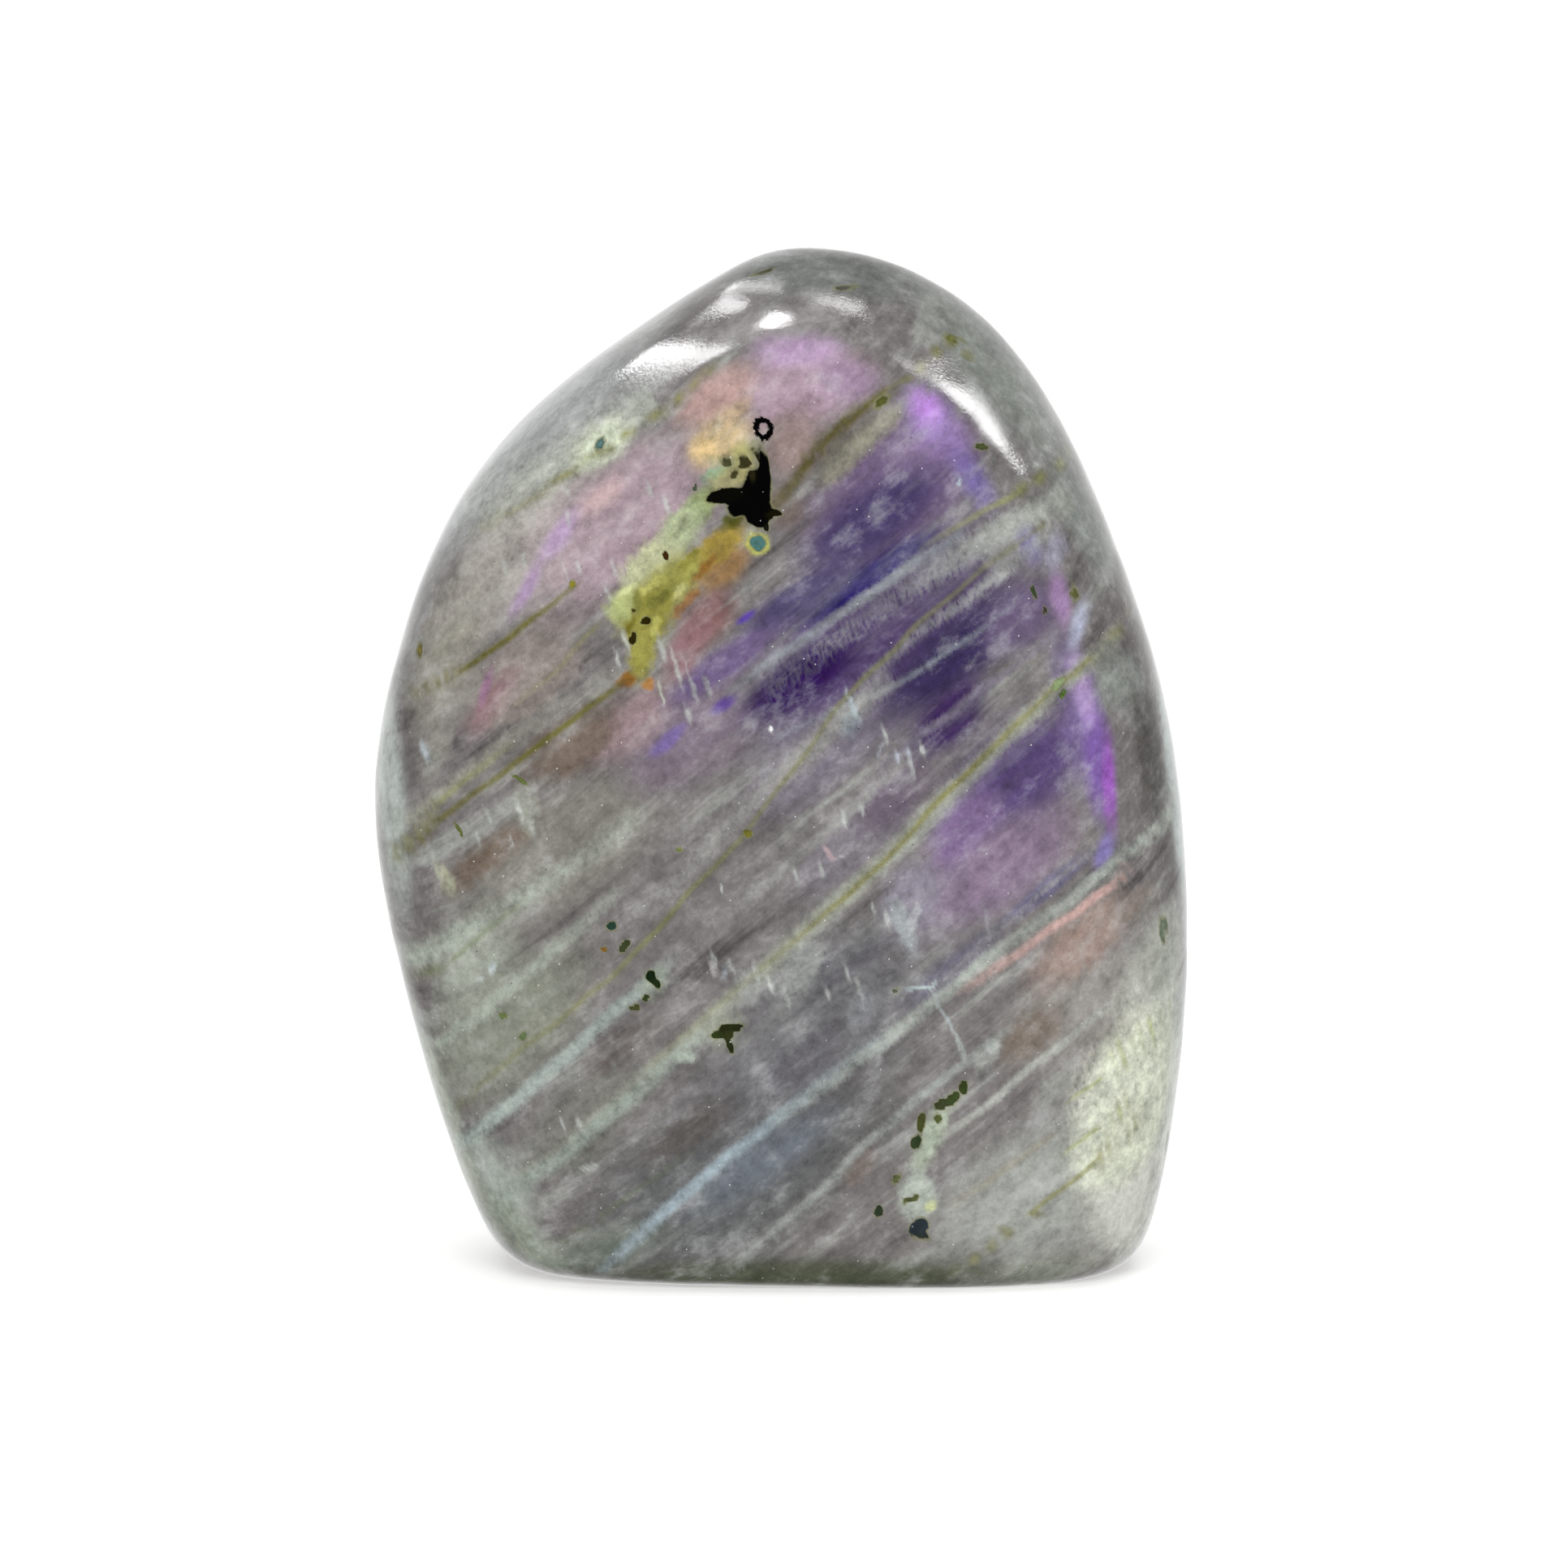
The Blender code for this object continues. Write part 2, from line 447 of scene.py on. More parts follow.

# %% [markdown]
# ## The ground mass
#
# Between its bands the stone is a cloudy feldspar, mauve brown in the middle and grey towards the rim. The
# rim is painted paler, as painted light where light comes in from behind, and the foot is painted dark, as
# painted shade. A noise alone would change as slowly but in the wrong places, so broad soft lenses do it.
# The shader's stretched noise adds the layers that run on round the sides and the back.

# %% The slow colours of the ground mass
GROUND_DEPTH = 15.0
GROUND = (124, 120, 119)
PALE_LAYER = (160, 162, 157)
DARK_LAYER = (88, 84, 84)
GROUND_LENSES = {
    "lower middle": ((900, 1450), 330, 150, 33, (100, 101, 102), 1.0),
    "foot left": ((740, 1540), 120, 40, 20, (112, 120, 110), 0.9),
    "centre": ((1010, 1260), 280, 130, 39, (114, 113, 116), 0.9),
    "centre left": ((860, 1090), 170, 90, 39, (121, 118, 117), 0.9),
    "left low pale": ((585, 1195), 110, 60, 60, (164, 170, 158), 0.9),
    "left foot pale": ((615, 1450), 90, 50, 125, (164, 172, 164), 0.9),
    "left middle": ((690, 1050), 220, 90, 36, (134, 132, 124), 0.9),
    "left lower": ((620, 1270), 200, 90, 45, (138, 142, 128), 0.9),
    "left low middle": ((720, 1370), 150, 70, 40, (124, 124, 118), 0.8),
    "lower right": ((1280, 1470), 210, 120, 30, (158, 160, 155), 1.0),
    "right field": ((1340, 1240), 150, 90, 39, (154, 150, 146), 0.9),
    "upper left shoulder": ((650, 545), 300, 85, 46, (170, 173, 172), 1.0),
    "upper left field": ((660, 660), 210, 100, 48, (176, 170, 165), 1.0),
    "left field": ((640, 830), 130, 56, 45, (152, 142, 136), 0.8),
    "left inner": ((555, 800), 150, 60, 70, (158, 154, 144), 0.9),
    # Painted light: the two left rim lenses below make the rim paler, where light comes in from behind.
    "left rim light": ((478, 960), 230, 32, 97, (190, 198, 192), 0.9),
    "left lower rim light": ((549, 1370), 240, 26, 110, (168, 176, 162), 0.9),
    "left foot": ((640, 1520), 90, 40, 135, (150, 160, 144), 0.8),
    "crown": ((1010, 335), 260, 46, -5, (122, 125, 122), 1.0),
    "crown mauve": ((960, 400), 110, 26, 10, (152, 146, 148), 0.8),
    "crown right": ((1225, 455), 190, 62, -52, (144, 149, 142), 1.0),
    "upper right rim": ((1335, 640), 110, 36, -62, (146, 152, 146), 0.9),
    "right rim": ((1412, 900), 200, 34, -82, (98, 96, 93), 0.9),
    # Painted light: the right edge and lower right rim lenses below make the rim paler, where light comes
    # in from behind.
    "right edge light": ((1445, 950), 260, 15, -84, (184, 200, 196), 0.8),
    "lower right rim light": ((1435, 1330), 260, 42, 88, (208, 214, 203), 0.9),
    # Painted shade: the foot lens darkens the bottom edge, which faces down to the floor and gets little
    # light.
    "foot": ((1010, 1572), 400, 34, 0, (88, 92, 76), 1.0),
    "right foot": ((1290, 1565), 90, 30, 10, (148, 152, 140), 0.8),
    "right foot pale": ((1395, 1480), 95, 140, 10, (204, 205, 197), 1.0),
    "right pale": ((1420, 1180), 110, 40, 60, (182, 185, 176), 0.8),
}

ground = Coat("ground", GROUND)
ground.lenses(GROUND_LENSES, calm, core=0.3, depth=GROUND_DEPTH)
print("ground lenses:", len(GROUND_LENSES))

# %% [markdown]
# ## The flash
#
# Labradorite flashes where light is thrown back by layers too thin to see, and each depth gives its own
# colour. A shader could tie the colour to the view, but it would slide over the stone and be lost on
# export. So the flash is laid as it stands in the photograph: warm pink and peach above the dark
# crystal, indigo through the middle, and bright violet along the shoulder where the face turns away.

# %% The flash on the face
FLASH = {
    "rose wash": ((775, 640), 190, 105, 44, (174, 152, 162), 0.9),
    "mauve wash": ((1100, 600), 180, 110, 39, (116, 98, 130), 1.0),
    "violet wash": ((1095, 785), 290, 135, 39, (84, 68, 106), 1.0),
    "mauve left wash": ((850, 905), 130, 75, 39, (130, 116, 131), 0.9),
    "mauve middle": ((1000, 940), 150, 60, 39, (124, 118, 130), 0.9),
    "violet low wash": ((1250, 960), 150, 90, 42, (106, 90, 126), 1.0),
    "lilac wash": ((1200, 1075), 150, 75, 36, (136, 122, 142), 0.9),
    "lilac middle": ((1050, 1045), 130, 45, 39, (134, 128, 138), 0.8),
    "pink crown": ((985, 480), 130, 66, 12, (176, 152, 166), 1.0),
    "violet crown": ((985, 432), 75, 26, 0, (190, 160, 196), 0.9),
    "lilac crown": ((1045, 470), 60, 36, -10, (162, 138, 164), 0.9),
    "peach": ((880, 488), 80, 40, 35, (188, 156, 150), 1.0),
    "rose beside crystal": ((975, 545), 60, 50, 60, (154, 134, 130), 0.9),
    "shade under olive": ((1040, 560), 90, 26, 45, (106, 102, 90), 0.9),
    "mauve shoulder": ((1150, 560), 90, 55, 39, (136, 116, 148), 0.9),
    "orange glow": ((888, 545), 60, 40, 35, (216, 192, 150), 1.0),
    "orange brown": ((888, 700), 56, 32, 38, (154, 120, 78), 0.9),
    "rose under yellow": ((870, 765), 66, 36, 45, (134, 98, 98), 0.9),
    "rose low": ((775, 890), 90, 46, 45, (156, 134, 138), 0.9),
    "brown by crystal": ((962, 625), 34, 40, 60, (118, 104, 96), 0.8),
    "violet haze": ((1010, 770), 60, 16, 36, (120, 106, 146), 0.7),
    "indigo upper": ((1075, 640), 150, 52, 36, (76, 65, 104), 1.0),
    "indigo band": ((1070, 712), 150, 22, 34, (38, 24, 104), 1.0),
    "indigo middle": ((985, 738), 120, 34, 33, (88, 80, 114), 1.0),
    "deep violet left": ((890, 820), 110, 28, 34, (112, 92, 138), 0.8),
    "plum middle": ((1100, 980), 90, 46, 42, (108, 96, 112), 0.9),
    "rose beside violet": ((845, 800), 60, 30, 60, (148, 112, 118), 0.8),
    "deep violet": ((985, 835), 120, 42, 34, (50, 24, 84), 1.0),
    "indigo right": ((1180, 805), 150, 52, 39, (60, 50, 88), 1.0),
    "plum right": ((1260, 760), 80, 50, 39, (110, 96, 126), 0.9),
    "violet right": ((1170, 885), 90, 42, 42, (64, 42, 90), 1.0),
    "vivid speck": ((918, 760), 20, 7, 35, (92, 60, 176), 0.8),
    "vivid speck low": ((890, 868), 26, 10, 35, (92, 62, 150), 0.8),
    "lavender tip": ((822, 912), 40, 12, 40, (130, 112, 176), 0.8),
    "violet low": ((1262, 955), 120, 52, 42, (90, 74, 118), 1.0),
    "violet lower": ((1190, 1020), 80, 46, 45, (130, 108, 148), 0.9),
    "lilac low": ((1250, 1060), 130, 62, 36, (138, 120, 142), 0.9),
    "lilac corner": ((1120, 1105), 62, 46, 60, (148, 143, 158), 0.8),
    "slate violet": ((1290, 1095), 100, 15, 38, (104, 100, 132), 0.9),
    "slate low": ((1180, 1190), 110, 24, 40, (106, 103, 120), 0.8),
    "blue grey low": ((935, 1435), 150, 40, 38, (112, 118, 126), 0.9),
}
SHOULDER_FLASH = {
    "violet shoulder": ((1150, 520), 76, 42, -56, (162, 134, 194), 0.9),
    "magenta shoulder": ((1140, 500), 36, 22, -50, (206, 152, 238), 0.9),
    "violet shoulder low": ((1198, 590), 66, 28, -62, (118, 102, 162), 0.9),
    "blue shoulder": ((1264, 665), 46, 22, -66, (138, 132, 182), 0.7),
    "violet side": ((1330, 880), 150, 40, -78, (124, 106, 154), 0.8),
    "violet edge": ((1350, 925), 130, 24, -84, (128, 96, 170), 0.9),
    "bright edge": ((1367, 965), 90, 13, -88, (160, 96, 192), 1.0),
    "upper edge": ((1333, 850), 64, 20, -75, (184, 158, 206), 0.9),
    "magenta edge": ((1307, 738), 56, 18, -80, (170, 138, 182), 0.9),
    "blue white edge": ((1330, 766), 50, 15, 70, (192, 196, 220), 0.9),
    "blue end": ((1360, 1052), 38, 18, 70, (148, 136, 200), 0.9),
    "rose arc top": ((742, 612), 46, 20, 42, (206, 178, 178), 0.8),
    "lilac arc": ((688, 660), 54, 18, 52, (188, 160, 200), 0.8),
    "violet arc": ((648, 726), 58, 14, 64, (166, 138, 178), 0.8),
    "rose left": ((605, 868), 76, 26, 54, (146, 116, 120), 0.9),
    "magenta left": ((597, 848), 36, 9, 72, (160, 116, 150), 0.8),
}

ground.lenses(FLASH, calm, core=0.35)
ground.lenses(SHOULDER_FLASH, calm, core=0.2)
print("flash lenses:", len(FLASH) + len(SHOULDER_FLASH))

# %% [markdown]
# ## Warm windows between the layers
#
# Where a clear layer lets the eye in, the ground turns brown and rose. These are lenses again, laid
# after the flash because they lie over it in the photograph.

# %% Brown and rose windows
WINDOWS = {
    "brown left": ((700, 910), 110, 42, 38, (106, 92, 82), 0.9),
    "brown left low": ((600, 1055), 110, 28, 38, (118, 104, 92), 0.9),
    "brown upper left": ((545, 790), 60, 22, 40, (172, 168, 156), 0.6),
    "dark left": ((535, 930), 50, 22, 60, (174, 174, 164), 0.7),
    "brown middle": ((760, 1290), 80, 28, 38, (98, 90, 88), 0.9),
    "brown right": ((1335, 1160), 120, 46, 40, (154, 134, 125), 1.0),
    "brown right low": ((1270, 1275), 70, 34, 40, (124, 112, 102), 0.9),
    "brown foot": ((850, 1395), 90, 30, 36, (96, 90, 86), 0.8),
    "dark foot": ((720, 1430), 70, 26, 34, (112, 112, 106), 0.7),
    "red foot": ((1060, 1440), 44, 20, 50, (118, 104, 98), 0.7),
    "dark right": ((1400, 1110), 46, 22, 39, (140, 130, 122), 0.7),
    "grey right": ((1300, 1340), 60, 22, 39, (172, 174, 168), 0.7),
    "dark centre": ((1040, 1190), 110, 36, 39, (100, 98, 104), 0.8),
    "dark centre low": ((985, 1310), 90, 32, 39, (98, 96, 102), 0.8),
    "dark mid": ((1000, 1120), 80, 26, 39, (114, 112, 112), 0.6),
}
ground.lenses(WINDOWS, feathered, core=0.3)
ground.keep()
print("windows:", len(WINDOWS))

# %% [markdown]
# ## Pale bands
#
# Fine grains along a layer scatter the light, so each such layer shows as a pale band with a comb-like
# edge. A stripe pattern would be too even, so each band is a strand of its own through calm places, and
# the shader later frays it along the cleavage. The list goes down the photograph from the upper right
# to the foot, and ends with the fainter bands of the upper part.

# %% The pale bands
PALE = (172, 176, 168)
GREENISH = (154, 157, 145)
BANDS = {
    "upper right": (
        [(1310, 600, 0.8), (1240, 635, 1.0), (1170, 690, 0.7), (1085, 748, 0.3), (1010, 800, 0.25),
         (950, 850, 0.2)],
        26, PALE, 0.8,
    ),
    "upper right lower edge": (
        [(1290, 655, 0.7), (1200, 722, 0.9), (1120, 790, 0.7), (1060, 840, 0.5)],
        14, PALE, 0.5,
    ),
    "indigo parting": (
        [(900, 850, 0.5), (985, 785, 0.9), (1080, 722, 1.0), (1180, 660, 0.9)],
        10, (140, 144, 150), 0.9,
    ),
    "indigo parting low": (
        [(965, 905, 0.5), (1040, 872, 0.8), (1110, 850, 0.9), (1180, 795, 0.9), (1250, 745, 0.5)],
        7, (138, 144, 152), 0.6,
    ),
    "violet parting": (
        [(1090, 940, 0.5), (1150, 893, 0.9), (1220, 840, 0.9), (1290, 790, 0.6)],
        10, (132, 126, 140), 0.8,
    ),
    "middle": (
        [(820, 1100, 0.4), (900, 1010, 0.6), (975, 940, 0.9), (1040, 885, 1.0), (1090, 840, 0.6)],
        24, (156, 156, 152), 0.85,
    ),
    "middle low": (
        [(880, 1140, 0.4), (940, 1098, 0.9), (985, 1055, 0.9), (1050, 995, 0.9), (1110, 940, 0.6)],
        12, (150, 150, 148), 0.85,
    ),
    "long olive halo": (
        [(640, 1450, 0.5), (740, 1372, 0.8), (810, 1312, 0.9), (880, 1252, 0.9), (960, 1178, 1.0),
         (1040, 1102, 1.0), (1100, 1052, 0.9), (1180, 968, 0.9), (1240, 893, 0.9), (1320, 826, 1.0),
         (1375, 780, 0.8)],
        19, GREENISH, 0.9,
    ),
    "left haze": (
        [(500, 1178, 0.9), (555, 1150, 1.0), (612, 1124, 0.9), (690, 1080, 0.6), (780, 1010, 0.4)],
        24, (162, 169, 158), 0.9,
    ),
    "left low": (
        [(540, 1286, 0.9), (594, 1240, 1.0), (641, 1207, 0.8), (700, 1152, 0.7), (760, 1100, 0.4)],
        15, (158, 165, 154), 0.9,
    ),
    "left foot": (
        [(566, 1408, 0.8), (605, 1378, 1.0), (666, 1324, 1.0), (721, 1273, 1.0), (779, 1225, 0.8),
         (830, 1180, 0.3)],
        15, (160, 170, 164), 0.95,
    ),
    "left foot low": (
        [(600, 1490, 0.5), (619, 1473, 0.8), (685, 1425, 1.0), (743, 1382, 1.0), (805, 1327, 0.7),
         (860, 1280, 0.5)],
        16, (148, 157, 149), 0.95,
    ),
    "blue foot": (
        [(740, 1564, 0.5), (786, 1524, 0.9), (859, 1451, 1.0), (950, 1378, 0.9), (1010, 1340, 0.5),
         (1080, 1285, 0.4)],
        14, (148, 161, 168), 0.95,
    ),
    "foot line": (
        [(903, 1567, 0.5), (939, 1527, 0.8), (1010, 1470, 0.9), (1057, 1412, 0.9), (1110, 1366, 0.9),
         (1163, 1324, 1.0), (1240, 1270, 0.5)],
        10, (152, 156, 152), 0.95,
    ),
    "right rising": (
        [(1443, 1005, 1.0), (1400, 1040, 1.0), (1300, 1112, 0.9), (1240, 1160, 0.7), (1200, 1198, 0.9),
         (1130, 1254, 0.8), (1060, 1303, 0.7), (960, 1380, 0.3)],
        14, (164, 170, 163), 0.95,
    ),
    "right rising low": (
        [(1160, 1210, 0.5), (1240, 1135, 0.6), (1300, 1080, 0.8), (1350, 1045, 0.7)],
        8, (154, 152, 150), 0.7,
    ),
    "pink line": (
        [(1190, 1218, 0.4), (1240, 1178, 0.7), (1330, 1118, 1.0), (1385, 1080, 0.8)],
        10, (192, 160, 154), 0.9,
    ),
    "right bright": (
        [(1443, 1172, 0.9), (1380, 1222, 0.9), (1315, 1277, 0.9), (1232, 1346, 1.0), (1180, 1388, 0.7),
         (1110, 1440, 0.4)],
        9, (172, 174, 168), 0.95,
    ),
    "upper left haze": (
        [(600, 640, 0.5), (640, 606, 0.7), (700, 566, 0.9), (745, 535, 1.0), (800, 498, 0.7)],
        30, (186, 191, 180), 0.9,
    ),
    "left threads halo": (
        [(505, 1010, 0.7), (560, 955, 0.8), (620, 915, 0.6), (700, 860, 0.3)],
        16, (160, 162, 146), 0.7,
    ),
    "left fine": (
        [(540, 728, 0.7), (612, 655, 0.7), (660, 620, 0.4)],
        8, (176, 171, 166), 0.7,
    ),
    "left fine low": (
        [(530, 775, 0.7), (580, 722, 0.7), (640, 670, 0.3)],
        8, (174, 167, 160), 0.7,
    ),
    "olive shadow side": (
        [(1020, 590, 0.5), (1060, 545, 0.9), (1100, 510, 0.9)],
        20, (158, 155, 138), 0.85,
    ),
}
veils = Coat("veils", PALE)
veils.strands(BANDS, calm)
print("bands:", len(BANDS))

# %% [markdown]
# ## Olive threads
#
# Cracks along the layers have healed with a green brown mineral. They are the sharpest lines of the
# face, a few tenths of a millimetre wide, so they are strands through calm places.

# %% The olive threads
OLIVE = (108, 104, 54)
PALE_OLIVE = (140, 140, 100)
GREEN = (104, 118, 74)
THREADS = {
    "upper left": (
        [(594, 651, 0.3), (634, 625, 0.5), (692, 589, 0.9), (739, 556, 0.7), (779, 535, 0.9),
         (830, 495, 0.9), (877, 455, 0.6)],
        5, (136, 134, 80), 0.9,
    ),
    "left": (
        [(514, 850, 0.6), (568, 829, 0.8), (612, 798, 1.0), (660, 758, 0.9), (703, 727, 0.7)],
        6, OLIVE, 0.9,
    ),
    "left low": (
        [(480, 1062, 0.6), (517, 1025, 0.8), (554, 996, 0.8), (590, 971, 0.8), (626, 945, 0.9),
         (655, 927, 1.0), (706, 884, 1.0), (757, 847, 0.8)],
        6, OLIVE, 0.9,
    ),
    "left low branch": (
        [(484, 1050, 0.6), (521, 1004, 0.7), (550, 975, 0.7), (586, 945, 0.6), (626, 922, 0.3)],
        6, PALE_OLIVE, 0.9,
    ),
    "under yellow": (
        [(640, 866, 0.2), (677, 833, 0.5), (706, 807, 0.6), (732, 775, 0.7)],
        5, (140, 138, 96), 0.8,
    ),
    "crown": (
        [(941, 636, 0.5), (965, 610, 0.7), (992, 578, 0.9), (1020, 540, 1.0), (1050, 506, 1.0),
         (1085, 488, 0.9)],
        12, (96, 90, 58), 1.0,
    ),
    "crown high": (
        [(1085, 488, 0.7), (1105, 473, 0.7), (1134, 451, 0.8), (1160, 428, 1.0), (1181, 414, 0.8)],
        6, (126, 126, 78), 0.9,
    ),
    "right upper": (
        [(1140, 672, 0.2), (1185, 644, 0.6), (1232, 612, 0.9), (1279, 582, 1.0), (1315, 566, 0.7)],
        6, (142, 146, 100), 0.9,
    ),
    "long": (
        [(560, 1362, 0.5), (594, 1322, 0.6), (655, 1278, 0.7), (706, 1246, 0.7), (757, 1198, 0.8),
         (794, 1164, 0.9), (834, 1118, 0.9), (877, 1070, 0.8), (930, 1015, 0.7), (963, 975, 0.8),
         (1003, 905, 0.7), (1035, 860, 0.8), (1083, 818, 0.8), (1134, 771, 0.8), (1181, 720, 0.7),
         (1217, 691, 0.6), (1268, 651, 0.6), (1315, 618, 0.5)],
        5, (126, 126, 84), 0.85,
    ),
    "lower long": (
        [(810, 1305, 0.2), (880, 1240, 0.3), (966, 1167, 0.5), (1010, 1138, 0.7), (1039, 1109, 0.9),
         (1086, 1062, 0.9), (1126, 1025, 0.9), (1155, 985, 1.0), (1199, 942, 1.0), (1250, 895, 0.8),
         (1294, 847, 0.7), (1337, 807, 0.8), (1385, 764, 0.6)],
        6, (128, 126, 78), 0.9,
    ),
    "left green": (
        [(508, 1206, 0.8), (540, 1190, 0.7), (575, 1171, 0.7), (634, 1120, 0.5)],
        5, GREEN, 0.7,
    ),
    "foot green": (
        [(692, 1527, 0.5), (739, 1498, 0.7), (779, 1469, 0.7), (850, 1420, 0.3)],
        4, (96, 112, 84), 0.7,
    ),
}
threads = Coat("threads", OLIVE)
threads.strands(THREADS, calm)
print("threads:", len(THREADS))

# %% [markdown]
# ## Patches
#
# Two patches belong to no layer. A yellow one with a green upper end hangs from the dark crystal, and
# a cream one sits in the lower right corner, crossed by its own fine olive lines. Smaller pale clouds
# and halos stand in the same list. All are lenses through torn places, so that their edges crumble.

# %% The yellow, green and cream patches
PATCHES = {
    "cream beside crystal": ((915, 566), 34, 26, 80, (164, 160, 104), 0.8),
    "orange left": ((866, 553), 30, 26, 40, (218, 190, 138), 0.8),
    "orange high": ((908, 508), 34, 18, 40, (202, 178, 144), 0.8),
    "green spot": ((884, 582), 32, 11, 25, (146, 172, 140), 0.9),
    "cream high": ((896, 592), 44, 22, 40, (172, 166, 118), 0.8),
    "green high": ((862, 622), 40, 24, 50, (146, 160, 112), 0.9),
    "green cream": ((838, 652), 52, 30, 50, (180, 192, 152), 0.9),
    "cream low": ((800, 694), 56, 32, 42, (204, 208, 166), 0.9),
    "yellow orange": ((886, 672), 56, 26, 42, (154, 134, 66), 0.9),
    "olive yellow": ((828, 716), 66, 38, 42, (152, 150, 80), 0.9),
    "olive yellow low": ((796, 758), 56, 48, 60, (140, 136, 66), 0.9),
    "green beside yellow": ((764, 748), 32, 26, 60, (172, 180, 124), 0.8),
    "yellow low": ((790, 806), 52, 24, 84, (146, 142, 74), 0.9),
    "rust in yellow": ((868, 700), 30, 9, 50, (150, 104, 52), 0.8),
    "rust edge": ((846, 742), 36, 9, 48, (150, 106, 66), 0.7),
    "olive shade high": ((850, 690), 26, 7, 44, (120, 116, 52), 0.7),
    "pale crumbs": ((838, 728), 20, 6, 50, (196, 194, 132), 0.7),
    "pale crumbs left": ((772, 726), 22, 7, 30, (196, 202, 150), 0.8),
    "olive shade": ((812, 738), 30, 8, 40, (118, 118, 58), 0.8),
    "olive shade left": ((785, 742), 22, 7, 100, (126, 126, 66), 0.8),
    "olive shade low": ((776, 770), 20, 7, 70, (104, 98, 36), 0.8),
    "pale in yellow": ((800, 722), 22, 7, 44, (206, 204, 120), 0.8),
    "pale in yellow low": ((806, 772), 26, 6, 80, (180, 178, 100), 0.8),
    "rust low": ((772, 838), 18, 13, 30, (140, 98, 46), 0.9),
    "rust right": ((800, 842), 12, 9, 50, (186, 130, 60), 0.8),
    "pale below": ((740, 842), 40, 20, 40, (150, 150, 140), 0.4),
    "teal ring": ((933, 669), 21, 19, 0, (188, 190, 96), 0.9),
    "green under crystal": ((905, 640), 28, 12, 30, (84, 86, 36), 0.9),
    "pale window": ((1112, 1140), 52, 16, 108, (162, 168, 170), 0.9),
    "pale window right": ((1126, 1130), 34, 8, 70, (184, 186, 190), 0.8),
    "pale cloud": ((650, 1000), 50, 22, 105, (152, 154, 144), 0.7),
    "pale cloud left": ((548, 1082), 34, 14, 120, (168, 170, 148), 0.7),
    "pale cloud high": ((740, 548), 56, 34, 40, (212, 220, 196), 0.9),
    "pale chain": ((1148, 1400), 74, 20, 68, (166, 176, 158), 0.8),
    "pale chain low": ((1130, 1475), 46, 34, 90, (176, 184, 174), 0.8),
    "cream corner": ((1395, 1345), 165, 108, 62, (216, 220, 202), 1.0),
    "cream corner low": ((1385, 1405), 115, 62, 40, (202, 206, 188), 0.9),
    "sugar middle": ((985, 1195), 66, 30, 60, (158, 161, 158), 0.7),
    "sugar middle low": ((922, 1216), 36, 24, 100, (152, 154, 152), 0.6),
    "sugar right": ((1062, 1242), 44, 26, 70, (144, 146, 149), 0.6),
    "sugar rise": ((1235, 680), 40, 30, 60, (160, 161, 158), 0.6),
    "sugar edge": ((1300, 680), 40, 22, 70, (152, 150, 166), 0.7),
    "grain halo": ((806, 1212), 34, 22, 60, (142, 150, 138), 0.7),
    "flower halo": ((893, 1272), 40, 30, 40, (146, 150, 136), 0.6),
    "white rise": ((1215, 1300), 34, 20, 60, (176, 180, 174), 0.6),
    "mauve veil": ((665, 848), 110, 30, 38, (150, 140, 134), 0.6),
    "brown veil": ((715, 925), 84, 34, 38, (112, 98, 88), 0.7),
    "green veil": ((1378, 838), 56, 44, 39, (146, 152, 146), 0.7),
}
veils.lenses(PATCHES, torn, core=0.35)

CORNER_THREADS = {
    "first": (
        [(1377, 1290, 0.7), (1403, 1270, 0.9), (1439, 1245, 0.7)],
        4, (170, 180, 110), 0.8,
    ),
    "second": (
        [(1325, 1350, 0.6), (1366, 1317, 0.9), (1417, 1285, 0.7)],
        4, (166, 176, 104), 0.8,
    ),
    "third": (
        [(1320, 1414, 0.6), (1359, 1386, 0.9), (1395, 1357, 0.8)],
        5, (164, 172, 104), 0.8,
    ),
    "fourth": (
        [(1185, 1565, 0.9), (1217, 1532, 0.8), (1257, 1503, 0.8), (1305, 1466, 0.9), (1352, 1426, 0.9),
         (1399, 1386, 0.7)],
        6, (140, 140, 86), 0.8,
    ),
    "fifth": (
        [(1180, 1480, 0.3), (1230, 1445, 0.5), (1290, 1405, 0.4)],
        8, (160, 150, 120), 0.6,
    ),
}
threads.strands(CORNER_THREADS, calm)
threads.keep()
print("patches:", len(PATCHES), "corner threads:", len(CORNER_THREADS))

# %% [markdown]
# ## Dark crystals
#
# The black crystal near the top is the strongest mark of the stone, and smaller green black grains are
# scattered below it. They are lenses through bent places. The points of the mesh lie too far apart for
# a sharp edge, so the strength of this coat only falls off round a grain, and the shader cuts it there.

